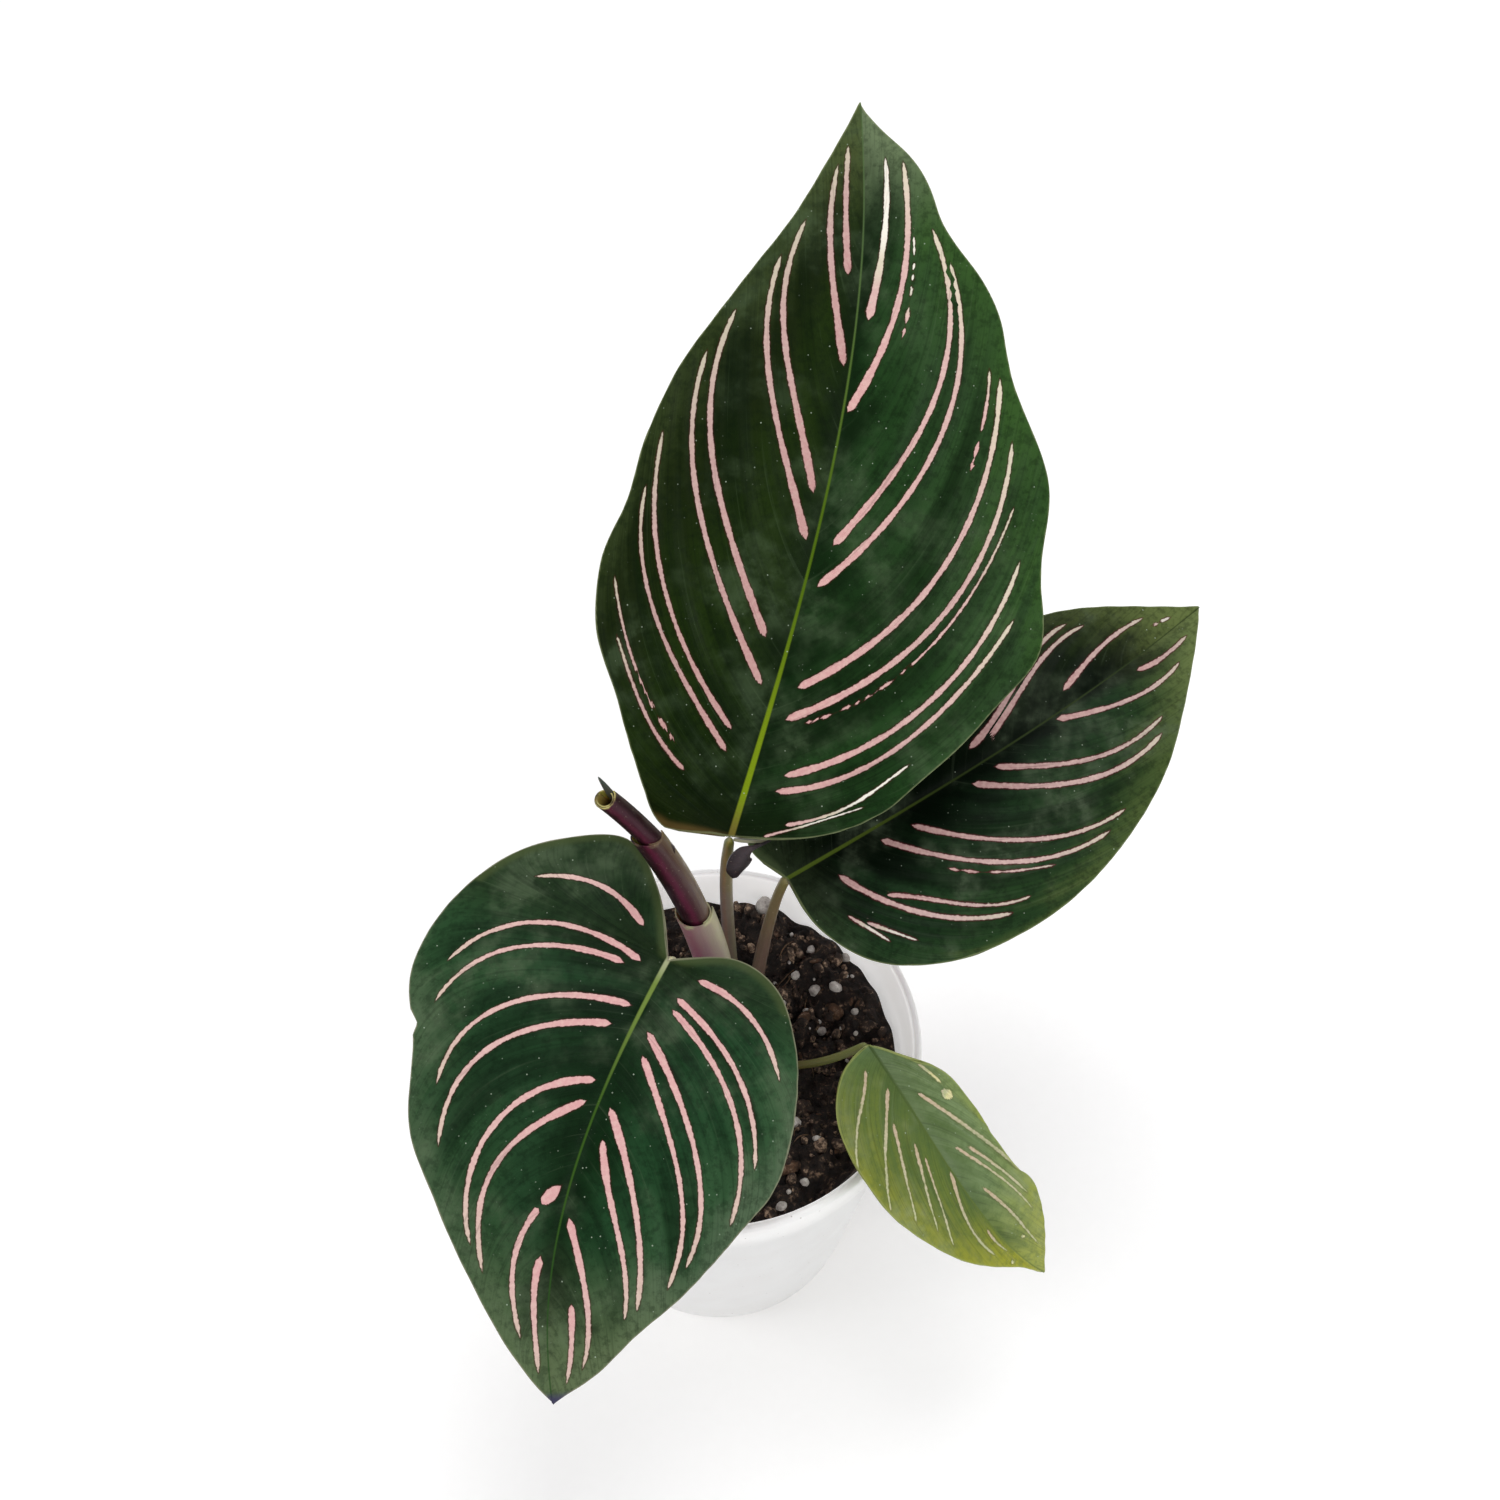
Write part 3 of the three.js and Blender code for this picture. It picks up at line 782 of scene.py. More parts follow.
@dataclass(frozen=True)
class CrumbFinish:
    """Finish of something in the potting mix.

    Attributes:
        name: The finish's name.
        dark: Its darkest colour.
        mid: Its usual colour.
        pale: The colour of its dry or raised places.
        size: Size of its blots.
        relief: Depth of its pits.
        roughness: Evenness of the shine.
        lit: Where among its blots the pale places start and are full.
    """

    name: str
    dark: Rgb
    mid: Rgb
    pale: Rgb
    size: float = 1.6
    relief: float = 0.4
    roughness: float = 0.85
    lit: tuple[float, float] = (0.52, 0.72)

    def made(self) -> Material:
        """The finish itself."""
        paint = Paint(self.name, Specular_IOR_Level=0.3)
        blots = paint.noise(paint.place(), scale=1 / self.size, detail=5, rough=0.65)
        pits = paint.noise(paint.place(), scale=4 / self.size, detail=4, rough=0.7)
        near, tint = paint.cells(paint.place(), scale=1.3 / self.size)
        colour = paint.mix(paint.step(blots, 0.3, 0.58), self.dark, self.mid)
        lit = paint.times(paint.step(blots, *self.lit), paint.step(pits, 0.4, 0.65))
        colour = paint.mix(lit, colour, self.pale)
        colour = paint.mix(paint.step(tint, 0.4, 0.9, 0, 0.3), colour, self.dark)
        height = paint.sum("MULTIPLY_ADD", near, 0.6, paint.sum("ADD", blots, pits))
        paint.relief(height, self.relief, 0.9)
        return paint.done(colour, paint.step(pits, 0.3, 0.7, self.roughness - 0.15, self.roughness + 0.1))


@dataclass(frozen=True)
class PlasticFinish:
    """Glossy moulded plastic of the pot.

    Attributes:
        name: The finish's name.
        colour: Its usual colour.
        shade: Its colour where it is thin or handled.
        dust: Colour of the potting dust that clings to it.
        slope: How far the wall leans out for each millimetre of height.
        lit: Radii at the foot between which the painted glow of the inner wall ends.
    """

    name: str = "pot_plastic"
    colour: Rgb = (250, 248, 246)
    shade: Rgb = (246, 243, 241)
    dust: Rgb = (120, 98, 80)
    slope: float = 0.1484
    lit: tuple[float, float] = (23.7, 24.1)

    def made(self) -> Material:
        """The finish itself."""
        paint = Paint(
            self.name,
            Specular_IOR_Level=0.5,
            Subsurface_Weight=1.0,
            Subsurface_Radius=(1.0, 1.0, 1.0),
            Subsurface_Scale=0.003,
            Coat_Weight=0.1,
            # The emission paints a glow on the inner wall.
            Emission_Strength=0.3,
        )
        blots = paint.noise(paint.place(), scale=0.12, detail=4)
        fine = paint.noise(paint.place(), scale=3.5, detail=3)
        scuffs = paint.noise(paint.place((0.35, 0.35, 4)), scale=1.0, detail=5, rough=0.7)
        near, tint = paint.cells(paint.place(), scale=0.8)
        colour = paint.mix(paint.step(blots, 0.35, 0.7), self.colour, self.shade)
        grit = paint.times(paint.step(near, 0.16, 0.06), paint.step(tint, 0.55, 0.95))
        colour = paint.mix(paint.times(grit, 0.6), colour, self.dust)
        colour = paint.mix(paint.step(scuffs, 0.62, 0.8, 0, 0.18), colour, self.dust)
        # Painted light: emission makes the inner wall glow white, in place of light coming through the thin
        # wall.
        x, y, z = paint.split(paint.place())
        square = paint.sum("ADD", paint.times(x, x), paint.times(y, y))
        outward = paint.sum("POWER", square, 0.5)
        inwards = paint.step(paint.sum("MULTIPLY_ADD", z, -self.slope, outward), self.lit[1], self.lit[0])
        painted_glow = paint.mix(inwards, (0, 0, 0), self.colour)
        paint.feed(paint.shader.inputs["Emission Color"], painted_glow)
        height = paint.sum("MULTIPLY_ADD", scuffs, 0.5, paint.times(fine, 0.25))
        paint.relief(height, 0.05, 0.6)
        return paint.done(colour, paint.step(scuffs, 0.35, 0.75, 0.28, 0.46))


# Blades


class Half(Enum):
    """A half of a blade, with the side of the midrib that it is on."""

    LEFT = -1
    RIGHT = 1


class Brush(Enum):
    """How a pinstripe is laid on."""

    FULL = "full"
    DASHED = "dashed"
    TRAILING = "trailing"
    BUDDED = "budded"
    # Pale along its length: its own pale tone, and on the back blade's tip stripe also painted sheen.
    BLEACHED = "bleached"
    SPOT = "spot"


@dataclass(frozen=True)
class Stripe:
    """One pinstripe, drawn on the flat blade.

    Attributes:
        curve: Control points of its middle line from its inner end, as distance along and distance across.
        width: Its width along most of its length.
        brush: How it is laid on.
    """

    curve: tuple[Flat, Flat, Flat, Flat]
    width: float = 0.85
    brush: Brush = Brush.FULL

    @classmethod
    def rows(cls, *rows: tuple) -> tuple["Stripe", ...]:
        """Pinstripes from rows of their four control points, a width and, unless whole, a brush."""
        return tuple(cls(tuple(zip(row[0:8:2], row[1:8:2])), *row[8:]) for row in rows)

    def beside(self, spots: Array) -> tuple[Array, Array, float]:
        """How places lie beside the stripe, which is carried on straight past both ends.

        Args:
            spots: Places on the flat blade.

        Returns:
            The distance to its left, the distance from its inner end, and its length.
        """
        beyond = 30
        line = Line(self.curve).at(np.linspace(0, 1, 41))
        ends = Line(self.curve).slope(np.array([0, 1])) * beyond
        line = np.vstack([line[0] - ends[0], line, line[-1] + ends[1]])
        step = np.diff(line, axis=0)
        pace = np.linalg.norm(step, axis=1)
        walked = np.cumsum(pace) - pace - beyond
        gap = spots[:, None] - line[:-1]
        share = np.clip((gap * step).sum(-1) / pace**2, 0, 1)
        apart = np.linalg.norm(gap - share[..., None] * step, axis=-1)
        row, cell = np.arange(len(spots)), np.argmin(apart, 1)
        turned = step[cell, 0] * gap[row, cell, 1] - step[cell, 1] * gap[row, cell, 0]
        inner = walked[cell] + share[row, cell] * pace[cell]
        return np.sign(turned) * apart[row, cell], inner, float(pace[1:-1].sum())

    def half_width(self, inner: Array, length: float) -> Array:
        """Half the stripe's width, negative past its ends.

        Args:
            inner: Distance from its inner end.
            length: Its length.

        Returns:
            Half-widths.
        """
        outer = length - inner
        if self.brush is Brush.SPOT:
            bulge = 1 - ((inner - outer) / length) ** 2
            return self.width / 2 * np.sign(bulge) * np.sqrt(np.abs(bulge))
        blunt = np.exp(-(((inner - 1.2) / (1.6 + 0.17 * length)) ** 2))
        swell = 0.84 + 0.36 * blunt - 0.18 * eased(inner / length, 0.55, 1.0)
        half = self.width / 2 * swell * (1 + 0.1 * np.sin(1.1 * inner + 4 * self.curve[0][0]))
        if self.brush in (Brush.DASHED, Brush.TRAILING):
            whole = eased(inner / length, 0.3, 0.6) if self.brush is Brush.TRAILING else 0.0
            dots = np.cos(2.6 * inner + 2.0 * np.sin(0.7 * inner))
            half = half - self.width * eased(dots - whole, 0.0, 0.7)
        if self.brush is Brush.BUDDED:
            bud, neck = np.exp(-(((inner - 1.7) / 1.1) ** 2)), np.exp(-(((inner - 3.7) / 0.4) ** 2))
            half = half + 0.4 * bud - 1.2 * neck
        half = np.minimum(half, 0.3 * self.width + 0.7 * inner)
        return np.minimum(half, 0.04 + np.where(outer > 0, 0.18, 0.6) * outer)


@dataclass
class Blade:
    """An open blade with its pinstripes and the keel of its midrib.

    Attributes:
        name: The node that the blade stands for.
        slot: The record's material slot.
        midrib: Its midrib line.
        faces: The direction that its upper side faces.
        fold: How steeply both halves rise from the midrib.
        droop: How far they bend down again at the margin.
        half: Half of its width.
        ripple: Height of the waves along its margin.
        waves: How many waves each margin has.
        left: Outline of the left half, as distance along and distance across.
        right: Outline of the right half.
        stripes: The pinstripes of both halves, each half's in order from base to tip.
        finish: Its finish.
        cells: Faces along it, and faces across each half.
        thickness: Thickness of the sheet.
        scallop: How deeply the right margin is scalloped, and how many times.
        corner: Where round the margin its corner or notch is, its reach, and how far it juts back and out.
        corner_half: The half with that corner or notch.
        vein_start: How far round the margin the first vein ends that doesn't start at the base.
        vein_crowding: How closely the veins start near the base.
        vein_bend: How far a vein swings towards the tip before it bends out.
        quilts: How many low pleats lie between the veins, and their height.
        channel: Depth of the groove over the midrib.
        keel: Radii of the midrib from base to tip.
        length: Length of its midrib.
    """

    name: str
    slot: str
    midrib: Line
    faces: Point
    fold: float
    droop: float
    half: float
    ripple: float
    waves: int
    left: tuple[Flat, ...]
    right: tuple[Flat, ...]
    stripes: dict[Half, tuple[Stripe, ...]]
    finish: BladeFinish
    cells: tuple[int, int] = (200, 56)
    thickness: float = 0.42
    scallop: tuple[float, float] = (0.0, 6.5)
    corner: tuple[float, float, float, float] = (0.0, 1.0, 0.0, 0.0)
    corner_half: Half = Half.LEFT
    vein_start: float = 0.2
    vein_crowding: float = 3.4
    vein_bend: float = 0.3
    quilts: tuple[float, float] = (23.0, 0.1)
    channel: float = 0.3
    keel: tuple[float, ...] = (0.85, 0.7, 0.5, 0.32, 0.16)
    length: float = field(init=False)

    def __post_init__(self) -> None:
        """Measures the midrib."""
        self.length = self.midrib.length()

    def margin(self, half: Half, run: Array) -> tuple[Array, Array]:
        """The outline of a half.

        Args:
            half: The half of the blade.
            run: How far round the margin, 0 at the base and 1 at the tip.

        Returns:
            Distance along the midrib and distance across.
        """
        edge = smoothed(self.left if half is Half.LEFT else self.right, run)
        along, across = edge[..., 0], edge[..., 1]
        if half is Half.RIGHT:
            depth, count = self.scallop
            across = across - depth * run * np.sin(2 * math.pi * count * run)
        if half is self.corner_half:
            where, reach, back, out = self.corner
            jut = np.clip(1 - np.abs(run - where) / reach, 0, 1)
            along, across = along - back * jut, across + half.value * out * jut
        return along, across

    def root(self, run: Array) -> Array:
        """Where on the midrib the vein starts that ends at a place on the margin."""
        start = np.maximum((run - self.vein_start) / (1 - self.vein_start), 0)
        return self.length * start**self.vein_crowding

    def veins(self, half: Half, along: Array, across: Array) -> tuple[Array, Array]:
        """The lateral vein that runs through each place of a half.

        Args:
            half: The half of the blade.
            along: Distance along the midrib.
            across: Distance across.

        Returns:
            Which vein, and how far out on it.
        """
        count, batch = 400, 4000
        vein = np.linspace(0, 1, count + 1)
        root = self.root(vein)
        edge_along, edge_across = self.margin(half, vein)
        bend = root + self.vein_bend * (edge_along - root)
        parts = []
        for first in range(0, len(along), batch):
            s, t = along[first : first + batch], across[first : first + batch]
            reach = np.abs(t)[:, None] / np.maximum(np.abs(edge_across), 1e-6)
            out = 1 - np.sqrt(np.clip(1 - reach, 0, 1))
            past = (1 - out) ** 2 * root + 2 * (1 - out) * out * bend + out**2 * edge_along - s[:, None]
            short = past < 0
            cell = np.where(short.any(1), count - np.argmax(short[:, ::-1], 1), 0)
            cell = np.minimum(cell, count - 1)
            row = np.arange(len(s))
            low, high = past[row, cell], past[row, cell + 1]
            share = np.clip(-low / np.where(np.abs(high - low) < 1e-9, 1e-9, high - low), 0, 1)
            reached = out[row, cell] * (1 - share) + out[row, cell + 1] * share
            parts.append(np.stack([vein[cell] + share / count, reached]))
        found = np.concatenate(parts, 1)
        return found[0], found[1]

    def from_margin(self, half: Half, along: Array, across: Array) -> Array:
        """Distance of each place from the margin of its half."""
        edge_along, edge_across = self.margin(half, np.linspace(0, 1, 500))
        nearest = np.full(len(along), 1e3)
        for s, t in zip(edge_along, edge_across):
            nearest = np.minimum(nearest, np.hypot(along - s, across - t))
        return nearest

    def surface(self, along: Array, across: Array, lift: Array) -> Array:
        """Points of the blade in space.

        Args:
            along: Distance along the midrib.
            across: Distance across.
            lift: Height above the plain surface.

        Returns:
            One point for each place.
        """
        share = along / self.length
        tangent = self.midrib.slope(share)
        side = np.cross(tangent, np.array(self.faces))
        side = side / np.linalg.norm(side, axis=-1, keepdims=True)
        up = np.cross(side, tangent)
        height = self.fold * np.abs(across) - self.droop * across**2 / self.half + lift
        return self.midrib.at(share) + side * across[..., None] + up * height[..., None]

    def marked(self, half: Half, along: Array, across: Array) -> Array:
        """The nearest pinstripe at each place of a half.

        The first number is the stripe's place in the list, plus the distance from its middle over APART.
        Halfway between two stripes it then passes a half and never a whole number.

        Args:
            half: The half of the blade.
            along: Distance along the midrib.
            across: Distance across.

        Returns:
            The stripe's number with the distance, its half-width and how far out on it.
        """
        spots = np.stack([along, across], -1)
        best = np.zeros((len(spots), 3))
        score = np.full(len(spots), -1e3)
        for number, stripe in enumerate(self.stripes[half]):
            left, inner, length = stripe.beside(spots)
            offset = -half.value * left
            width = stripe.half_width(inner, length)
            past = np.maximum(np.maximum(-inner, inner - length), 0)
            near = np.maximum(width, 0) - np.hypot(offset, past)
            width = np.where(near > -1.2, np.maximum(width, -1), -1)
            share = np.clip(inner / length, 0, 1)
            pale = 0.8 * share
            if stripe.brush in (Brush.BLEACHED, Brush.DASHED, Brush.SPOT):
                pale = np.maximum(pale, eased(share, -0.3, 0.6))
            kept = np.stack([number + np.clip(offset / APART, -0.45, 0.45), width, pale], -1)
            best[near > score] = kept[near > score]
            score = np.maximum(score, near)
        best[np.abs(across) < 1e-6, 1] = -1
        return best

    def spaced(self, column: Array) -> Array:
        """Where each column of faces ends on the margin, so that the faces are of about one size."""
        run = np.linspace(0, 1, 600)
        pace = 0.45 * np.gradient(self.root(run), run)
        for half in Half:
            along, across = self.margin(half, run)
            pace = pace + 0.5 * np.hypot(np.gradient(along, run), np.gradient(across, run))
        walked = np.concatenate([[0], np.cumsum(0.5 * (pace[1:] + pace[:-1]))])
        return np.interp(column * walked[-1], walked, run)

    def sheet(self) -> Piece:
        """The blade itself, with its upper and lower side."""
        piece, column, side = Bench.grid(self.name.replace("leaf", "blade"), self.cells[0], 2 * self.cells[1])
        run = self.spaced(column)
        out = np.abs(2 * side - 1)
        points = np.zeros((len(run), 3))
        place = np.zeros((len(run), 3))
        stripes = np.zeros((len(run), 3))
        chart = np.zeros((len(run), 2))
        for half in Half:
            mine = side > 0.5 if half is Half.LEFT else side <= 0.5
            w, p = run[mine], out[mine]
            edge_along, edge_across = self.margin(half, w)
            start = self.root(w)
            along, across = start + p * (edge_along - start), p * edge_across
            u, v = self.veins(half, along, across)
            turn = half.value
            wave = self.ripple * p**2 * np.sin(math.pi * w) * np.sin(2 * math.pi * self.waves * w + turn)
            count, high = self.quilts
            quilt = np.sin(2 * math.pi * count * u + 2.1 * np.sin(9 * u + turn))
            quilt = 3 * high * quilt * v * (1.15 - v) * eased(u, 0.25, 0.45)
            taper = 1 - 0.75 * np.clip(along / self.length, 0, 1)
            channel = -self.channel * taper * np.exp(-((across / 0.8) ** 2))
            points[mine] = self.surface(along, across, wave + quilt + channel)
            from_rim = self.from_margin(half, along, across)
            place[mine] = np.stack([along / self.length, np.abs(across), from_rim], -1)
            stripes[mine] = self.marked(half, along, across)
            chart[mine] = np.stack([u, 0.5 - turn * v / 2], -1)
        Bench.place(piece, points)
        Bench.rechart(piece, chart)
        Bench.note(piece, "Place", place)
        Bench.note(piece, "Stripe", stripes)
        Bench.weld(piece, outward=False)
        Bench.wear(piece, self.finish.upper(), self.finish.lower())
        Bench.thicken(piece, self.thickness, 0.0)
        Bench.smooth(piece, 50)
        return piece

    def rib(self) -> Piece:
        """The keel of the midrib under the blade."""
        name = self.name.replace("leaf", "midrib")
        piece, around, along = Bench.grid(name, 12, 90)
        share = 0.004 + 0.95 * along
        flat = share * self.length
        radius = smoothed(self.keel, along) * np.sqrt(np.clip(1 - (2 * np.abs(along - 0.5)) ** 60, 0, 1))
        angle = 2 * math.pi * around
        drop = -0.18 - 0.35 * radius + radius * np.sin(angle) * 0.8
        drop = drop - self.channel * (1 - 0.75 * share)
        points = self.surface(flat, radius * np.cos(angle), drop)
        Bench.place(piece, points)
        Bench.note(piece, "Place", np.stack([share, 0 * share + 0.2, 0 * share + 9], -1))
        Bench.weld(piece)
        Bench.wear(piece, self.finish.lower())
        Bench.smooth(piece, 60)
        return piece

    def build(self) -> None:
        """Makes the blade and its keel."""
        Bench.present(self.sheet(), self.slot, self.name)
        Bench.present(self.rib(), self.slot)


# Stalks, sheath and young leaf


@dataclass
class Stalk:
    """A stalk from the soil to its blade, with the knuckle under the blade.

    Attributes:
        name: The node that it stands for.
        line: Its centre line.
        radii: Its radii from bottom to top.
        finish: Its finish.
    """

    name: str
    line: Line
    radii: tuple[float, ...]
    finish: StemFinish

    def build(self) -> None:
        """Makes the stalk."""
        name = self.name + "_dressed"
        piece = Bench.tube(name, self.line, self.radii, sides=28, rings=90, flutes=(7, 0.035))
        Bench.wear(piece, self.finish.made())
        Bench.present(piece, "stalk", self.name)


@dataclass
class Wrap:
    """A sheet rolled round a line, with a free edge and a slanted top.

    Attributes:
        name: The piece's name.
        line: The line that it is rolled round.
        stretch: The part of the line that it covers.
        radii: Its outer radii from bottom to top.
        turns: How many times it goes round.
        edge: Where round the line its free edge lies, in degrees.
        pitch: How far each turn lies under the next.
        slant: How far its top falls away, as a share of the line.
        high: Where round the line its top is highest, in degrees.
        lifted: How far its free edge stands off.
        thickness: Thickness of the sheet.
        cells: Faces round it and faces along it.
    """

    name: str
    line: Line
    stretch: tuple[float, float]
    radii: tuple[float, ...]
    turns: float
    edge: float
    pitch: float = 0.34
    slant: float = 0.0
    high: float = 0.0
    lifted: float = 0.16
    thickness: float = 0.26
    cells: tuple[int, int] = (96, 70)

    def build(self, outer: Material, inner: Material) -> Piece:
        """The rolled sheet, with the finish of its outer side and of its inner side."""
        piece, around, along = Bench.grid(self.name, *self.cells)
        angle = math.radians(self.edge) - 2 * math.pi * self.turns * (1 - around)
        fall = self.slant * (0.5 - 0.5 * np.cos(angle - math.radians(self.high)))
        span = self.stretch[1] - self.stretch[0]
        share = self.stretch[0] + (span - fall) * along
        order = np.argsort(share)
        back = np.argsort(order)
        centres, first, second = (part[back] for part in self.line.frames(share[order]))
        under = self.pitch * self.turns * (1 - around)
        radius = smoothed(self.radii, (share - self.stretch[0]) / span) - under
        radius = (radius + self.lifted * eased(around, 0.93, 1.0))[:, None]
        turn = angle[:, None]
        Bench.place(piece, centres + first * (radius * np.cos(turn)) + second * (radius * np.sin(turn)))
        Bench.wear(piece, outer, inner)
        Bench.thicken(piece, self.thickness, -1.0)
        Bench.smooth(piece, 50)
        return piece


@dataclass
class YoungLeaf:
    """The youngest leaf, rolled up into a tube, and the sheath that it comes out of.

    Attributes:
        shoot: The line of the sheath and of the leaf's outer turn.
        inner: The line of the inner turn, which stands out at the top.
        spike: The pointed tip of the blade beside the open end.
    """

    shoot: Line
    inner: Line
    spike: Line

    def leaf(self) -> Piece:
        """The rolled leaf with its two steps and its pointed tip."""
        # Round the roll its colours paint its light: near black on the left as painted shade and a magenta
        # band as painted highlight, over its own maroon and khaki.
        outside = StemFinish(
            "roll_outer",
            along=((0.0, (44, 22, 26)), (0.45, (60, 28, 42)), (1.0, (58, 32, 40))),
            around=(
                (0.62, (20, 6, 11)), (0.7, (34, 9, 18)), (0.76, (86, 24, 50)), (0.8, (64, 28, 36)),
                (0.84, (78, 56, 50)), (0.91, (104, 88, 72)), (0.97, (116, 100, 60)), (1.0, (118, 106, 56)),
            ),
            around_share=0.88,
            streak=(34, 12, 20),
            edge=(0.992, (112, 94, 74)),
            roughness=0.34,
            gloss=0.2,
        ).made()
        # The core's colours round it also paint its light: near-black sides as painted shade, a pink band and
        # a grey right edge as painted highlights, over its own maroon.
        core = StemFinish(
            "roll_core",
            along=((0.0, (58, 24, 38)), (0.6, (44, 16, 28)), (1.0, (50, 22, 30))),
            around=(
                (0.72, (12, 5, 7)), (0.78, (30, 6, 14)), (0.83, (82, 30, 50)), (0.87, (62, 22, 36)),
                (0.93, (34, 14, 18)), (0.98, (74, 66, 62)),
            ),
            around_share=0.85,
            streak=(24, 8, 14),
            edge=(0.985, (176, 166, 104)),
            roughness=0.34,
            gloss=0.2,
        ).made()
        inside = StemFinish(
            "roll_inner",
            along=((0.0, (52, 50, 14)), (0.85, (96, 84, 26)), (1.0, (164, 158, 78))),
            around=((0.3, (86, 54, 22)), (0.62, (134, 136, 48)), (0.85, (70, 36, 20)), (1.0, (104, 78, 34))),
            around_share=0.6,
            streak=(64, 42, 14),
            roughness=0.5,
        ).made()
        wrap = Wrap(
            "rolled_wrap",
            self.shoot,
            (0.45, 1.0),
            (1.9, 2.3, 2.45, 2.45, 2.3),
            turns=1.3,
            edge=36,
            slant=0.03,
            high=-150,
        ).build(outside, inside)
        core_piece = Wrap(
            "rolled_core",
            self.inner,
            (-0.25, 1.0),
            (1.68, 1.7, 1.7, 1.68, 1.66),
            turns=1.75,
            edge=34,
            pitch=0.3,
            slant=0.06,
            high=150,
            thickness=0.2,
        ).build(core, inside)
        tip = Bench.tube(
            "rolled_tip", self.spike, (0.62, 0.6, 0.42, 0.12), (0.3, 0.22, 0.18, 0.1), sides=12, rings=30
        )
        skin = StemFinish(
            "roll_tip",
            along=((0.0, (84, 78, 60)), (0.4, (62, 64, 54)), (1.0, (58, 70, 62))),
            streak=(40, 46, 40),
        )
        Bench.wear(tip, skin.made())
        return Bench.join([wrap, core_piece, tip], "rolled_leaf_dressed")

    def sheath(self) -> Piece:
        """The sheath, open at the top with a slanted edge."""
        outside = StemFinish(
            "sheath_outer",
            along=(
                (0.0, (92, 72, 60)), (0.5, (140, 118, 116)), (0.8, (148, 130, 118)),
                (0.93, (158, 156, 118)), (1.0, (156, 154, 112)),
            ),
            # Pink band on its left: partly its own tint, partly painted highlight.
            around=(
                (0.58, (160, 150, 124)), (0.62, (146, 92, 112)), (0.7, (142, 74, 104)),
                (0.77, (146, 110, 120)), (0.85, (150, 134, 124)), (0.93, (172, 166, 138)),
                (1.0, (142, 138, 104)),
            ),
            around_share=0.8,
            streak=(146, 116, 112),
            edge=(0.985, (178, 176, 136)),
            roughness=0.48,
        ).made()
        inside = StemFinish(
            "sheath_inner",
            along=((0.0, (110, 96, 70)), (1.0, (168, 158, 116))),
            streak=(140, 128, 96),
            roughness=0.6,
        ).made()
        return Wrap(
            "sheath_dressed",
            self.shoot,
            (0.0, 0.69),
            (2.8, 2.75, 2.85, 3.0, 3.0),
            turns=1.2,
            edge=18,
            slant=0.02,
            high=170,
            pitch=0.26,
            thickness=0.22,
        ).build(outside, inside)

    def build(self) -> None:
        """Makes the leaf and its sheath."""
        Bench.present(self.leaf(), "blade_maroon", "leaf_rolled")
        Bench.present(self.sheath(), "sheath", "sheath")


@dataclass
class Curl:
    """A small flap at the back blade's base that has curled or folded.

    Attributes:
        name: The piece's name.
        line: Its centre line.
        widths: Its widths from its start to its end.
        finish: Its finish.
        hollow: How deeply it is cupped, as a share of its width.
        twist: How far it turns about its line, in degrees.
    """

    name: str
    line: Line
    widths: tuple[float, ...]
    finish: StemFinish
    hollow: float = 0.3
    twist: float = 0.0

    def build(self) -> None:
        """Makes the flap."""
        piece, along, across = Bench.grid(self.name, 60, 22)
        column = np.rint(along * 60).astype(int)
        centres, first, second = (part[column] for part in self.line.frames(np.linspace(0, 1, 61)))
        turn = math.radians(self.twist) * eased(along, 0.05, 0.5)[:, None]
        cos, sin = np.cos(turn), np.sin(turn)
        first, second = first * cos + second * sin, second * cos - first * sin
        half = smoothed(self.widths, along) / 2
        side = (2 * across - 1) * (1 + 0.06 * np.sin(11 * along + 2))
        cup = self.hollow * half * (1 - side**2)
        Bench.place(piece, centres + first * (half * side)[:, None] - second * cup[:, None])
        Bench.wear(piece, self.finish.made())
        Bench.thicken(piece, 0.4, 0.0, second=False)
        Bench.weld(piece)
        Bench.smooth(piece, 50)
        Bench.present(piece, "blade_green")


# Pot and potting mix


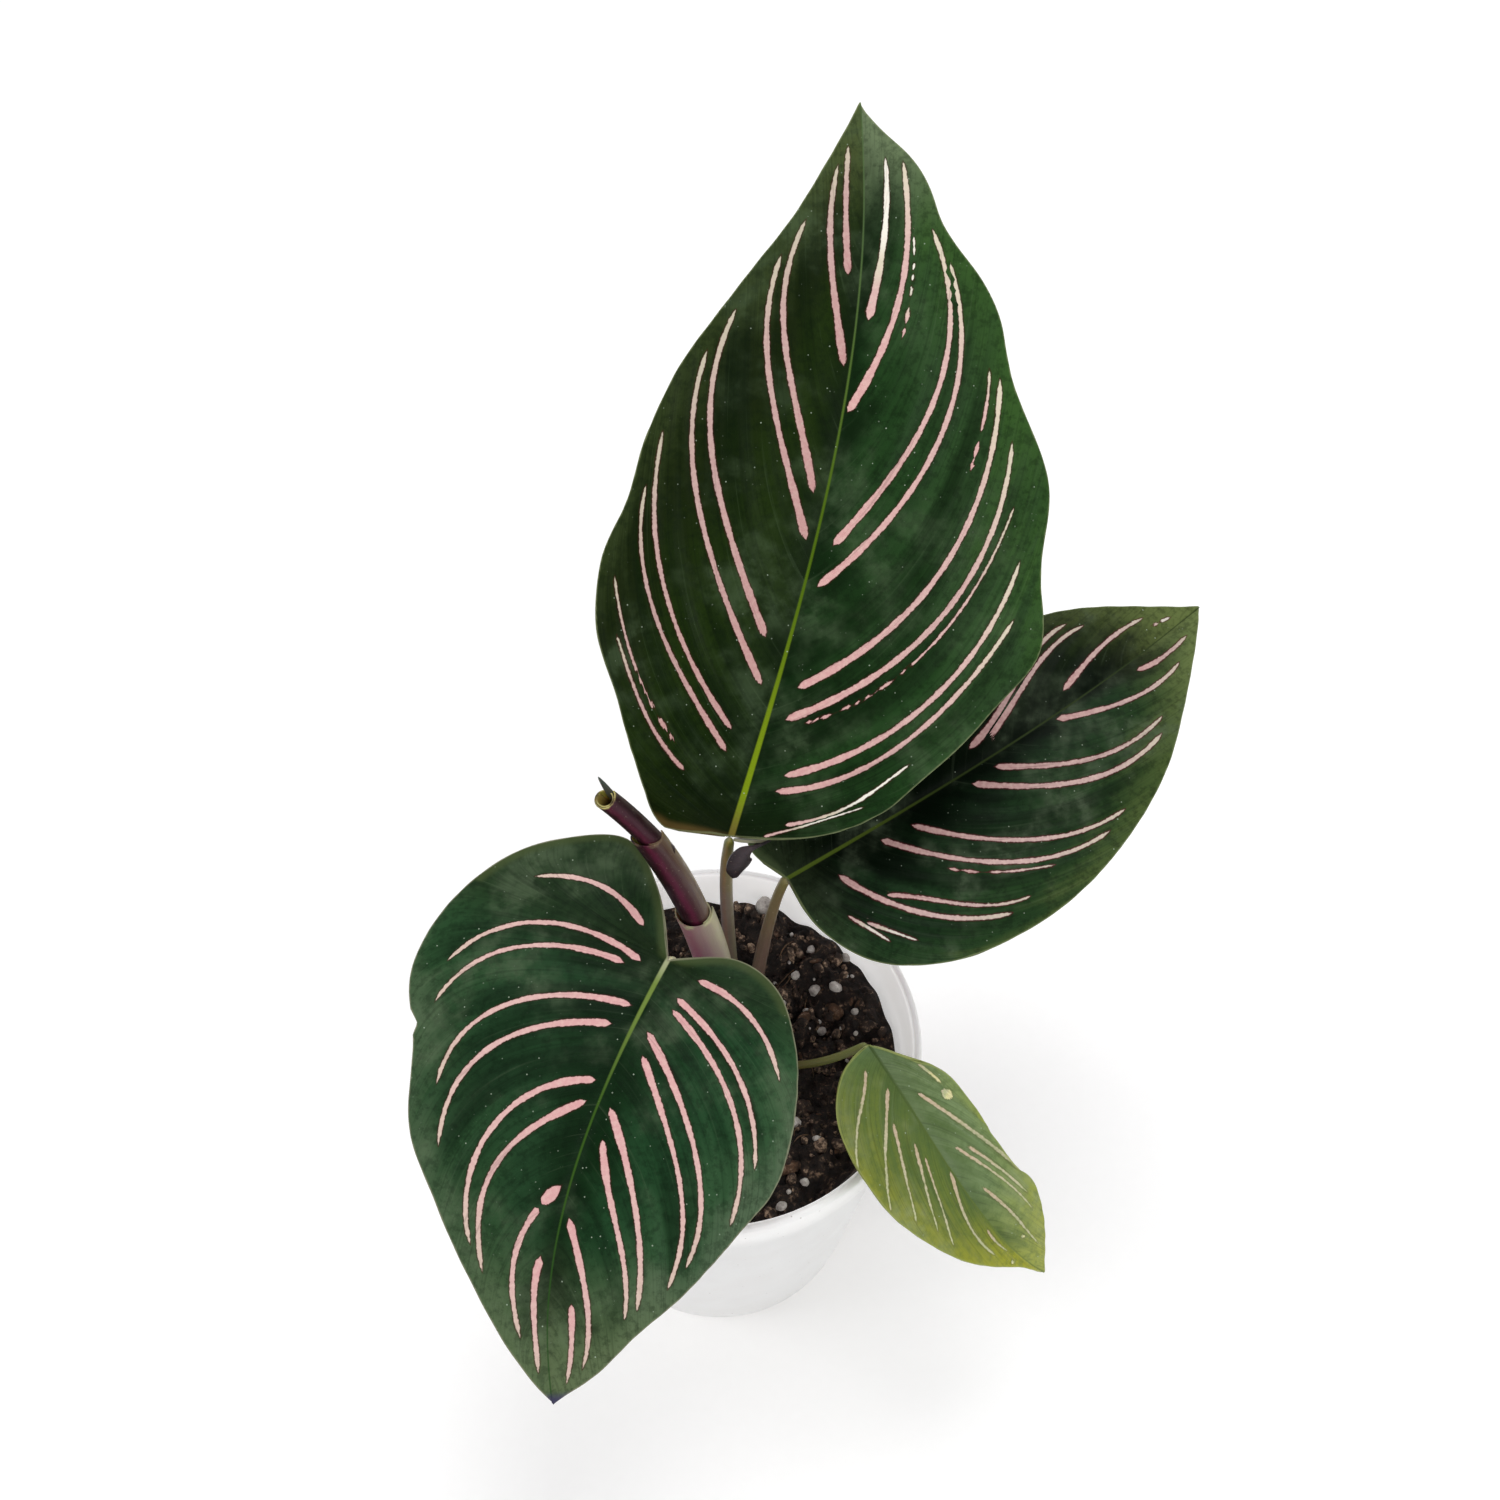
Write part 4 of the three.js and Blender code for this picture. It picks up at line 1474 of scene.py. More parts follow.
@dataclass
class Pot:
    """The nursery pot.

    Attributes:
        height: Its height.
        rim_radius: Outer radius of its rolled rim.
        mouth_radius: Radius of its opening.
        base_radius: Outer radius of its base.
        wall: Thickness of its wall.
        floor: Thickness of its floor.
        collar_height: Height of the rim's collar.
        collar_step: How far the collar slopes out below.
        lip: Size of the round on the rim.
        rounding: Size of the round on every other edge.
        drains: How many holes its floor has.
        drain_radius: Radius of each hole.
        drain_circle: Distance of the holes from the middle.
        sides: Faces round it.
    """

    height: float = 62
    rim_radius: float = 34.6
    mouth_radius: float = 32.6
    base_radius: float = 24.5
    wall: float = 1.1
    floor: float = 1.4
    collar_height: float = 6.5
    collar_step: float = 0.9
    lip: float = 0.7
    rounding: float = 0.22
    drains: int = 5
    drain_radius: float = 3.4
    drain_circle: float = 14
    sides: int = 128

    def inner_radius(self, height: float) -> float:
        """Radius of the inner wall at a height."""
        slope = (self.mouth_radius + self.wall - self.base_radius) / self.height
        return self.base_radius + slope * height - self.wall

    def outline(self) -> list[tuple[float, float]]:
        """Radius and height of each ring, from the outer foot over the rim to the inner floor."""
        foot = self.height - self.collar_height
        inner = self.inner_radius(self.floor + 1)
        return [
            (self.base_radius - 1, 0),
            (self.base_radius - 0.3, 0.25),
            (self.base_radius, 1),
            (self.inner_radius(4) + self.wall, 4),
            (self.inner_radius(foot) + self.wall, foot),
            (self.rim_radius - self.collar_step, foot + 0.35),
            (self.rim_radius - self.collar_step + 0.35, foot + self.collar_step),
            (self.rim_radius - 0.2, self.height - self.lip - 0.5),
            (self.rim_radius - 0.3, self.height - 0.5 * self.lip),
            (self.rim_radius - self.lip, self.height),
            (self.mouth_radius + self.lip, self.height),
            (self.mouth_radius + 0.2, self.height - 0.4 * self.lip),
            (self.mouth_radius, self.height - self.lip - 0.4),
            (inner, self.floor + 1),
            (inner - 1, self.floor),
        ]

    def shell(self) -> Piece:
        """The wall, rim and floor, raised ring by ring from the foot."""
        rings = self.outline()
        radius, level = rings[0]
        Bench.clear()
        bpy.ops.mesh.primitive_circle_add(
            vertices=self.sides, radius=radius * MM, fill_type="NGON", location=(0, 0, level * MM)
        )
        piece = Bench.named("pot_dressed")
        bpy.ops.object.transform_apply(location=True, rotation=True, scale=True)
        bpy.ops.object.mode_set(mode="EDIT")
        bpy.ops.mesh.select_all(action="SELECT")
        for next_radius, next_level in rings[1:]:
            rise = (0, 0, (next_level - level) * MM)
            bpy.ops.mesh.extrude_region_move(TRANSFORM_OT_translate={"value": rise})
            share = next_radius / radius
            bpy.ops.transform.resize(value=(share, share, 1))
            radius, level = next_radius, next_level
        bpy.ops.mesh.select_all(action="SELECT")
        bpy.ops.mesh.normals_make_consistent(inside=False)
        bpy.ops.object.mode_set(mode="OBJECT")
        return piece

    def drain(self, piece: Piece) -> None:
        """Cuts the drain holes through the floor."""
        Bench.clear()
        for i in range(self.drains):
            angle = 2 * math.pi * i / self.drains
            bpy.ops.mesh.primitive_cylinder_add(
                vertices=40,
                radius=self.drain_radius * MM,
                depth=4 * self.floor * MM,
                location=(
                    self.drain_circle * math.cos(angle) * MM,
                    self.drain_circle * math.sin(angle) * MM,
                    self.floor * MM,
                ),
            )
            cutter = Bench.named("cutter")
            Bench.modify(piece, "BOOLEAN", operation="DIFFERENCE", solver="EXACT", object=cutter)
            Bench.pick(cutter)
            bpy.ops.object.delete()

    def build(self) -> None:
        """Makes the pot."""
        piece = self.shell()
        self.drain(piece)
        sharp = math.radians(28)
        Bench.modify(
            piece, "BEVEL", width=self.rounding * MM, segments=3, limit_method="ANGLE", angle_limit=sharp
        )
        Bench.wear(piece, PlasticFinish().made())
        Bench.smooth(piece, 30)
        Bench.present(piece, "pot", "pot")


@dataclass
class Scatter:
    """Draws where things lie on the finished surface of the mix.

    Attributes:
        height: Gives the height of the surface at a place.
        rng: The stream of numbers.
    """

    height: Callable[[float, float], float]
    rng: random.Random

    def turn(self) -> Point:
        """A turn about each axis."""
        return (self.rng.uniform(0, 6.28), self.rng.uniform(0, 6.28), self.rng.uniform(0, 6.28))

    def spot(self, reach: float) -> Flat:
        """A place within a reach of the middle."""
        r, a = reach * math.sqrt(self.rng.random()), self.rng.uniform(0, 2 * math.pi)
        return r * math.cos(a), r * math.sin(a)


@dataclass
class PottingMix:
    """The potting mix, with perlite, bark, clods and fibres lying in its surface.

    Attributes:
        pot: The pot that holds it.
        top: Height of its surface.
        rough: Height of its broad waves.
        back_rise: How much higher it lies at the back.
        spread: Radius that its grains lie in.
        gap: Gap to the pot's wall.
        grains: How many large grains lie at set places.
        grain_radius: Their least and greatest radius.
        crumbs: How many crumbs lie in it.
        grit: How many small perlite grains lie in it.
        splinters: How many small bits of bark lie in it.
        threads: How many peat fibres lie on it.
        crumb_reach: How far out the crumbs lie.
        reach: How far out the grit and splinters lie.
        seed: Start of the stream of numbers that places them.
        clods: Place across, place back and radius of the large clods.
        perlite: The same of the perlite grains that stand out.
        bark: The same of the bark chips, with a turn in degrees.
    """

    pot: Pot
    top: float = 54
    rough: float = 0.9
    back_rise: float = 2.4
    spread: float = 28
    gap: float = 0.3
    grains: int = 15
    grain_radius: tuple[float, float] = (0.9, 1.7)
    crumbs: int = 520
    grit: int = 60
    splinters: int = 70
    threads: int = 34
    crumb_reach: float = 29.6
    reach: float = 29.4
    seed: int = 20
    clods: tuple[Point, ...] = (
        (5.5, 25.5, 4.0), (-5.5, 21, 3.6), (11, 22, 3.0), (-14, 18, 3.4), (19, 16, 2.6), (24, 5, 2.4),
        (21, -6, 2.2), (14, 5, 2.6), (8, -14, 2.4), (26, 12, 2.0), (-20, 8, 2.8), (-12, -16, 2.6),
        (2, -24, 2.4),
    )
    perlite: tuple[Point, ...] = (
        (20.6, 13.0, 1.25), (17.0, 13.6, 1.15), (13.6, 15.4, 1.0), (16.4, 21.5, 1.0), (13.2, -11.6, 1.1),
        (16.8, -14.8, 0.85), (8.2, 28.0, 1.9), (22.5, 20.0, 0.9), (11.2, 9.6, 0.8), (18.0, 6.0, 0.9),
        (14.6, -22.4, 0.9), (10.8, -26.6, 1.0), (23.8, 8.6, 0.8), (15.4, 9.4, 0.7), (12.6, 2.4, 0.9),
        (-3.0, 24.2, 1.1), (-22, 12, 1.2), (-24, -4, 1.0), (-8, -22, 1.3), (2, -18, 1.0), (-16, 2, 1.1),
    )
    bark: tuple[tuple[float, float, float, float], ...] = (
        (11.6, -19.6, 2.3, 20), (15.0, 7.2, 1.9, 70), (20.2, 9.0, 2.1, -30), (10.0, 12.6, 2.0, 15),
        (22.6, -9.0, 1.8, 100), (-18, -12, 2.4, 60), (-8, 14, 2.0, -40), (5, -27, 2.2, 10), (-25, 6, 2.1, 85),
    )

    def level(self, x: Array, y: Array) -> Array:
        """Height of the broad surface at places across and back."""
        wave = np.sin(0.42 * x + 1.3) * np.cos(0.37 * y - 0.6) + 0.6 * np.sin(0.81 * x - 0.7 * y)
        return self.top + self.rough * wave + self.back_rise * np.maximum(y, 0) / self.spread

    def plug(self) -> Piece:
        """The body of the mix, crumbly on top."""
        piece, around, reach = Bench.grid("potting_mix", 240, 110)
        angle = 2 * math.pi * around
        bottom = self.pot.floor + self.gap
        edge = self.pot.inner_radius(self.top - 2) - self.gap - 0.15
        low_edge = self.pot.inner_radius(bottom + 1) - self.gap - 0.15
        below, side = 0.12, 0.25
        radius = np.where(
            reach < below,
            (low_edge - 1) * reach / below,
            np.where(
                reach < side,
                low_edge + (edge - low_edge) * (reach - below) / (side - below),
                edge * (1 - reach) / (1 - side),
            ),
        )
        x, y = radius * np.cos(angle), radius * np.sin(angle)
        height = np.where(
            reach < below,
            bottom,
            bottom + 1 + (self.top - 1 - bottom) * np.clip((reach - below) / (side - below), 0, 1),
        )
        on_top = reach >= side - 1e-6
        crumbs = np.zeros(len(x))
        for i in np.flatnonzero(on_top):
            spot = Vector((x[i], y[i], 0))
            coarse = noise.noise(spot * 0.28) * 1.3
            middle = 1 - abs(noise.noise(spot * 0.62 + Vector((7, 3, 1)))) * 2
            fine = noise.noise(spot * 1.5) * 0.7
            crumbs[i] = coarse + 0.9 * middle + fine - 0.6
        crumbs = crumbs * eased(edge - radius, 0, 1.5)
        for cx, cy, size in self.clods:
            near = np.hypot(x - cx, y - cy) / size
            crumbs = crumbs + on_top * 0.62 * size * np.exp(-(near**2) * 1.4) * eased(edge - radius, 0, 2)
        height = np.where(on_top, self.level(x, y) + crumbs, height)
        Bench.place(piece, np.stack([x, y, height], -1))
        Bench.weld(piece)
        Bench.smooth(piece, 70)
        return piece

    def ground(self, plug: Piece) -> Callable[[float, float], float]:
        """A function of the place across and back that gives the height of the finished surface."""

        def height(x: float, y: float) -> float:
            """Height of the surface at a place."""
            hit, spot, _, _ = plug.ray_cast(Vector((x, y, 90)) * MM, Vector((0, 0, -1)))
            return spot.z / MM if hit else self.top

        return height

    def lump(self, name: str, seed: int, ragged: float) -> Piece:
        """One irregular lump of radius 1 mm, to be copied.

        Args:
            name: Its name.
            seed: Which lump.
            ragged: How far its surface wanders, as a share of its radius.

        Returns:
            The lump.
        """
        Bench.clear()
        bpy.ops.mesh.primitive_ico_sphere_add(subdivisions=2, radius=MM)
        piece = Bench.named(name)
        points = Bench.points(piece)
        for i, point in enumerate(points):
            spot = Vector(point) * 0.9 + Vector((seed * 3.7, seed * 1.3, 0))
            points[i] = point * (1 + ragged * noise.noise(spot) + 0.5 * ragged * noise.noise(spot * 2.6))
        Bench.place(piece, points)
        Bench.smooth(piece, 45)
        return piece

    def strew(
        self,
        name: str,
        patterns: Sequence[Piece],
        places: Sequence[Placed],
        finish: Material,
    ) -> Piece:
        """Copies lumps to their places and joins them.

        Args:
            name: The name of the whole.
            patterns: The lumps to copy in turn.
            places: Where each copy lies.
            finish: Its finish.

        Returns:
            The joined lumps.
        """
        copies = []
        for i, (x, y, z, size, turn) in enumerate(places):
            pattern = patterns[i % len(patterns)]
            copy = pattern.copy()
            copy.data = pattern.data.copy()
            bpy.context.scene.collection.objects.link(copy)
            copy.location = (x * MM, y * MM, z * MM)
            copy.scale = size
            copy.rotation_euler = turn
            copies.append(copy)
        Bench.clear()
        for copy in copies:
            copy.select_set(True)
        bpy.context.view_layer.objects.active = copies[0]
        bpy.ops.object.transform_apply(location=True, rotation=True, scale=True)
        whole = Bench.join(copies, name)
        Bench.wear(whole, finish)
        return whole

    def crumb_places(self, scatter: Scatter) -> list[Placed]:
        """Where the crumbs and the large grains lie."""
        rng = scatter.rng
        places = []
        for _ in range(self.crumbs):
            x, y = scatter.spot(self.crumb_reach)
            size = rng.uniform(0.35, 0.75) if rng.random() < 0.75 else rng.uniform(0.8, 1.5)
            scale = (size, size * rng.uniform(0.6, 1), size * rng.uniform(0.5, 0.9))
            places.append((x, y, scatter.height(x, y) + 0.15 * size, scale, scatter.turn()))
        following = stream(self.seed + 1)
        least, most = self.grain_radius
        for i in range(self.grains):
            angle = 2.4 * i + 0.5 * following()
            reach = self.spread * math.sqrt((i + 0.5) / self.grains)
            size = least + (most - least) * following()
            x, y = reach * math.cos(angle), reach * math.sin(angle)
            level = float(self.level(np.array(x), np.array(y)))
            places.append((x, y, level + 0.1 * size, (size, size, size), scatter.turn()))
        return places

    def perlite_places(self, scatter: Scatter) -> list[Placed]:
        """Where the perlite grains lie."""
        rng = scatter.rng
        places = []
        for x, y, size in self.perlite:
            scale = (size, size * rng.uniform(0.8, 1), size * rng.uniform(0.7, 0.95))
            places.append((x, y, scatter.height(x, y) + 0.45 * size, scale, scatter.turn()))
        for _ in range(self.grit):
            x, y = scatter.spot(self.reach)
            size = rng.uniform(0.2, 0.5)
            scale = (size, size, size * 0.8)
            places.append((x, y, scatter.height(x, y) + 0.3 * size, scale, scatter.turn()))
        return places

    def bark_places(self, scatter: Scatter) -> list[Placed]:
        """Where the bark chips and the splinters lie."""
        rng = scatter.rng
        places = []
        for x, y, size, degrees in self.bark:
            tilt = (rng.uniform(-0.25, 0.25), rng.uniform(-0.25, 0.25), math.radians(degrees))
            scale = (size, 0.55 * size, 0.34 * size)
            places.append((x, y, scatter.height(x, y) + 0.25 * size, scale, tilt))
        for _ in range(self.splinters):
            x, y = scatter.spot(self.reach)
            size = rng.uniform(0.5, 1.2)
            tilt = (rng.uniform(-0.5, 0.5), rng.uniform(-0.5, 0.5), rng.uniform(0, 3.1))
            scale = (size, 0.4 * size, 0.28 * size)
            places.append((x, y, scatter.height(x, y) + 0.15 * size, scale, tilt))
        return places

    def build(self) -> None:
        """Makes the mix and what lies in it."""
        soil = CrumbFinish("mix_peat", (12, 10, 9), (40, 31, 26), (142, 118, 98), size=2.0, relief=0.5)
        peat = CrumbFinish(
            "mix_crumbs", (18, 14, 12), (66, 52, 43), (176, 150, 126), size=2.6, relief=0.3, lit=(0.48, 0.62)
        )
        white = CrumbFinish(
            "mix_perlite", (150, 144, 138), (204, 199, 192), (238, 235, 229), size=1.0, relief=0.25
        )
        brown = CrumbFinish("mix_bark", (34, 22, 14), (86, 62, 44), (150, 130, 112), size=1.4, relief=0.3)
        plug = self.plug()
        scatter = Scatter(self.ground(plug), random.Random(self.seed))
        Bench.wear(plug, soil.made())
        Bench.present(plug, "soil", "soil")

        kinds = (
            (peat, [self.lump(f"crumb_{i}", i, 0.5) for i in range(5)], self.crumb_places),
            (white, [self.lump(f"perlite_{i}", i + 20, 0.3) for i in range(4)], self.perlite_places),
            (brown, [self.lump(f"bark_{i}", i + 40, 0.45) for i in range(3)], self.bark_places),
        )
        for finish, lumps, places in kinds:
            Bench.present(self.strew(finish.name, lumps, places(scatter), finish.made()), "soil")
        Bench.present(self.fibres(scatter), "soil")
        for _, lumps, _ in kinds:
            for lump in lumps:
                bpy.data.objects.remove(lump)

    def fibres(self, scatter: Scatter) -> Piece:
        """Thin peat fibres that lie about on the surface, joined."""
        rng = scatter.rng
        start_reach, end_reach = 27, 29
        threads = []
        for i in range(self.threads):
            x, y = rng.uniform(-20, 26), rng.uniform(-25, 26)
            if math.hypot(x, y) > start_reach:
                x, y = 0.6 * x, 0.6 * y
            a, run = rng.uniform(0, 6.28), rng.uniform(0.8, 1.9)
            bend = rng.uniform(-0.6, 0.6)
            corners = []
            for k in range(4):
                px, py = x + k * run * math.cos(a + bend * k), y + k * run * math.sin(a + bend * k)
                reach = math.hypot(px, py)
                if reach > end_reach:
                    px, py = px * end_reach / reach, py * end_reach / reach
                lift = 0.15 if k in (0, 3) else rng.uniform(0.4, 1.1)
                corners.append((px, py, scatter.height(px, py) + lift))
            thick = rng.uniform(0.07, 0.14)
            radii = (thick, thick, 0.5 * thick)
            threads.append(Bench.tube(f"fibre_{i}", Line(tuple(corners)), radii, sides=5, rings=10))
        whole = Bench.join(threads, "mix_fibres")
        finish = StemFinish(
            "mix_fibre",
            along=((0.0, (70, 50, 34)), (1.0, (104, 82, 58))),
            streak=(40, 28, 20),
            roughness=0.7,
        )
        Bench.wear(whole, finish.made())
        return whole


# Light and camera


@dataclass
class Studio:
    """The pale floor, the soft lamps and the camera.

    Attributes:
        floor: Colour of the floor.
        sky: Strength of the light from all round.
        camera_place: Where the camera is.
        camera_tilt: Its turn up from straight down, in degrees.
        lens: Its focal length.
        sensor: Width of its frame.
        lamps: Name, place, size and power of each lamp, in metres and watts.
        aim: The place that the lamps are turned to, in metres.
        paper: Side of the floor, in metres.
    """

    floor: Rgb = (253, 253, 253)
    sky: float = 0.62
    camera_place: Point = (5.7, -146.9, 328.1)
    camera_tilt: float = 38
    lens: float = 43.2
    sensor: float = 36
    lamps: tuple[tuple[str, Point, float, float], ...] = (
        ("overhead", (0.1, 0.28, 1.1), 0.7, 4.7),
        ("front", (0.42, -0.72, 0.86), 0.45, 3.1),
        ("side", (-0.85, -0.1, 0.75), 0.6, 2.5),
    )
    aim: Point = (0, 0, 0.1)
    paper: float = 8

    def build_floor(self) -> None:
        """Lays the floor."""
        Bench.clear()
        bpy.ops.mesh.primitive_plane_add(size=self.paper)
        floor = Bench.named("studio_floor")
        paint = Paint("studio_paper", Specular_IOR_Level=0.1)
        fibres = paint.noise(paint.place(), scale=0.4, detail=4)
        colour = paint.mix(paint.step(fibres, 0.3, 0.7, 0, 0.5), self.floor, (251, 251, 251))
        paint.relief(fibres, 0.05, 0.3)
        Bench.wear(floor, paint.done(colour, 0.9))
        floor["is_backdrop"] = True

    def build_lamps(self) -> None:
        """Hangs the lamps and sets the light from all round."""
        for name, place, size, power in self.lamps:
            Bench.clear()
            bpy.ops.object.light_add(type="AREA", location=place)
            lamp = Bench.named(f"lamp_{name}")
            lamp.data.shape = "DISK"
            lamp.data.size = size
            lamp.data.energy = power
            lamp.rotation_euler = (Vector(self.aim) - Vector(place)).to_track_quat("-Z", "Y").to_euler()
        world = bpy.data.worlds.new("studio_air")
        world.use_nodes = True
        sky = world.node_tree.nodes["Background"]
        sky.inputs["Color"].default_value = (1.0, 1.0, 1.0, 1.0)
        sky.inputs["Strength"].default_value = self.sky
        bpy.context.scene.world = world

    def build_camera(self) -> None:
        """Sets up the camera."""
        place = Vector(self.camera_place) * MM
        Bench.clear()
        bpy.ops.object.camera_add(location=place, rotation=(math.radians(self.camera_tilt), 0, 0))
        camera = Bench.named("studio_camera")
        camera.data.lens = self.lens
        camera.data.sensor_width = self.sensor
        camera.data.clip_start = 0.01
        bpy.context.scene.camera = camera

    def build(self) -> None:
        """Sets up the whole studio."""
        self.build_camera()
        self.build_floor()
        self.build_lamps()
        bpy.context.scene.view_settings.view_transform = "Standard"
        LOG.info("studio: floor, %d lamps and camera", len(self.lamps))


# The plant


DEEP_GREEN = BladeFinish(
    name="blade_back",
    left=((14, 30, 5), (26, 42, 8), (20, 31, 6), (42, 54, 25)),
    right=((12, 34, 10), (28, 56, 24), (42, 68, 36), (48, 78, 34)),
    deep=(6, 20, 4),
    # The right half's pale tip colour is partly painted sheen.
    tip=((68, 80, 42), (104, 118, 88)),
    foot=(18, 24, 5),
    hem=(92, 74, 40),
    painted_sheen=((86, 106, 76), 0.28),
    rim=(128, 136, 98),
    rib=((110, 100, 44), (116, 138, 20), (72, 98, 14), (74, 96, 58)),
    stripe=((200, 152, 150), (200, 164, 160), (202, 194, 172), (228, 226, 214)),
    faded=0.2,
)
SHADED_GREEN = BladeFinish(
    name="blade_right",
    left=((5, 14, 5), (12, 24, 8), (30, 42, 18), (48, 58, 28)),
    right=((4, 14, 5), (25, 48, 25), (30, 54, 26), (66, 82, 42)),
    deep=(3, 12, 3),
    tip=((100, 114, 64), (104, 118, 70)),
    foot=(52, 66, 42),
    hem=(70, 84, 56),
    painted_sheen=((86, 100, 78), 0.55),
    rim=(118, 128, 88),
    rib=((82, 100, 34), (78, 96, 32), (44, 56, 26), (40, 52, 26)),
    rib_widths=(0.32, 0.16, 0.05),
    stripe=((180, 140, 138), (182, 154, 150), (182, 172, 156), (200, 196, 186)),
    halo=((70, 22, 28), 0.85),
    tip_start=0.7,
)
FRONT_GREEN = BladeFinish(
    name="blade_front",
    left=((12, 36, 14), (28, 60, 34), (44, 74, 46), (72, 92, 68)),
    right=((14, 36, 16), (30, 58, 34), (36, 65, 38), (58, 80, 54)),
    deep=(6, 22, 8),
    tip=((92, 106, 74), (88, 104, 72)),
    foot=(24, 34, 14),
    hem=(60, 72, 40),
    painted_sheen=((96, 112, 86), 0.32),
    rim=(140, 138, 114),
    rib=((152, 158, 122), (104, 124, 56), (52, 82, 26), (36, 68, 28)),
    rib_widths=(0.36, 0.15, 0.05),
    stripe=((202, 152, 152), (202, 164, 160), (196, 174, 160), (226, 216, 206)),
    tip_start=0.62,
    apex=((60, 56, 84), 0.974),
)
PALE_GREEN = BladeFinish(
    name="blade_low",
    left=((88, 108, 66), (108, 128, 84), (120, 138, 82), (134, 146, 66)),
    right=((80, 100, 44), (94, 110, 44), (108, 119, 46), (128, 134, 46)),
    deep=(70, 92, 44),
    tip=((152, 158, 58), (164, 164, 30)),
    foot=(94, 120, 80),
    hem=(104, 126, 84),
    painted_sheen=((136, 148, 112), 0.4),
    rim=(146, 154, 82),
    rib=((62, 82, 38), (64, 84, 38), (78, 96, 42), (100, 116, 48)),
    rib_widths=(0.3, 0.2, 0.08),
    stripe=((178, 160, 130), (170, 172, 132), (168, 178, 128), (212, 208, 150)),
    halo=((92, 92, 48), 0.4),
    under=((104, 120, 62), (132, 142, 88)),
    vein=0.5,
    tip_start=0.55,
    raised=1.0,
    gloss=0.2,
)
FOLD_SKIN = StemFinish(
    "base_fold",
    along=((0.0, (118, 116, 92)), (0.5, (128, 134, 116)), (1.0, (96, 104, 84))),
    streak=(84, 92, 70),
)
# The grey bands along and across the ear are painted sheen on its dark lower side.
EAR_SKIN = StemFinish(
    "curled_ear",
    along=((0.0, (26, 22, 20)), (0.35, (24, 18, 20)), (0.65, (62, 52, 57)), (1.0, (22, 16, 18))),
    around=((0.0, (20, 16, 16)), (0.35, (64, 54, 58)), (0.7, (44, 34, 38)), (1.0, (10, 6, 8))),
    around_share=0.6,
    streak=(20, 12, 16),
    roughness=0.4,
    gloss=0.25,
)


BLEACHED, DASHED, TRAILING = Brush.BLEACHED, Brush.DASHED, Brush.TRAILING

BACK = Blade(
    name="leaf_back",
    slot="blade_green",
    midrib=Line(((2.8, 12.2, 103), (13.2, 32.5, 132.5), (25.2, 60, 158.2), (22, 93.2, 176.6))),
    faces=(-0.05, -0.67, 0.74),
    fold=0.1,
    droop=0.14,
    half=32,
    ripple=1.1,
    waves=5,
    left=(
        (0, 0), (0, -11), (8, -18), (16.5, -23), (25.5, -28.5), (36, -30.5), (46.5, -28.5),
        (57, -28), (67.5, -25.5), (77, -21), (86.5, -16), (95.5, -10), (104.5, -5), (113, 0),
    ),
    right=(
        (0, 0), (4, 12), (10.5, 20.5), (19, 26), (28.5, 31.5), (38, 36), (48, 34),
        (58.5, 32.5), (68, 27.5), (77.5, 22.5), (87, 17.5), (95.5, 11), (105, 6), (113, 0),
    ),
    stripes={
        Half.LEFT: Stripe.rows(
            (8.3, -10, 12.2, -16.6, 18.5, -21, 25, -25.1, 0.5),
            (12, -12.4, 17.5, -19.2, 25.6, -25.1, 33.9, -27.8, 0.48, TRAILING),
            (13.1, -4.7, 23.2, -15.6, 33, -26.1, 49, -26.3, 0.72),
            (16.6, -4.9, 27.5, -18, 40.8, -25.9, 58.2, -25.7, 0.72),
            (24.5, -2.5, 38.4, -14, 53.1, -24.4, 72.1, -21.1, 0.88),
            (31.6, -3.8, 46.1, -14.3, 60.8, -23.5, 79.3, -17.8, 0.95),
            (47.1, -1.6, 60, -8.3, 73.8, -16.2, 88.8, -11.8, 0.95),
            (54.1, -2.1, 67.1, -7.2, 79.9, -14.9, 94.2, -8.5, 0.95),
            (73.2, -1.1, 83.1, -3.8, 92.7, -6.5, 103.1, -3.8, 0.95),
            (86.7, -1.9, 93.1, -2.8, 99.6, -2.9, 106.1, -2.2, 0.85),
        ),
        Half.RIGHT: Stripe.rows(
            (1.8, 4.9, 4.8, 9.3, 7.8, 13.5, 10.9, 17.7, 0.3, BLEACHED),
            (4.7, 7.6, 8.1, 14.5, 12.9, 18.1, 18.9, 22.4, 0.45, BLEACHED),
            (9.3, 4.8, 14.4, 18.5, 29.7, 26.7, 42.7, 31.2, 0.75),
            (12.1, 5.4, 20, 18.9, 35, 28.7, 50.6, 30, 0.85),
            (20.6, 5.7, 29.1, 18.9, 42.3, 24.9, 57.4, 27.2, 0.42, TRAILING),
            (20.4, 3.1, 31.7, 17.9, 46.7, 27.2, 65.8, 25.1, 0.92),
            (25.6, 3.5, 38.9, 18.2, 54.2, 24.3, 73.9, 22, 0.95),
            (60.9, 20, 65.6, 20.3, 70.4, 21, 75.1, 20.2, 0.5, TRAILING),
            (40.8, 2.2, 54.6, 13, 71.5, 20.2, 88.6, 12.8, 0.85),
            (47.2, 2.9, 62.7, 11.5, 75.5, 18.2, 93.1, 10.2, 0.9),
            (77.8, 7, 83.1, 7.8, 88.4, 7.9, 93.6, 7.3, 0.42, DASHED),
            (66.6, 0.9, 79.9, 6.6, 88.9, 7.4, 103.2, 5.8, 1.0),
            # The tip stripe is whiter partly as painted sheen.
            (80.3, 1.8, 88.1, 2.9, 95.9, 3.7, 103.9, 3.2, 0.95, BLEACHED),
        ),
    },
    finish=DEEP_GREEN,
    cells=(270, 58),
    scallop=(0.9, 6.5),
    corner=(0.066, 0.045, 1.1, 0.5),
)
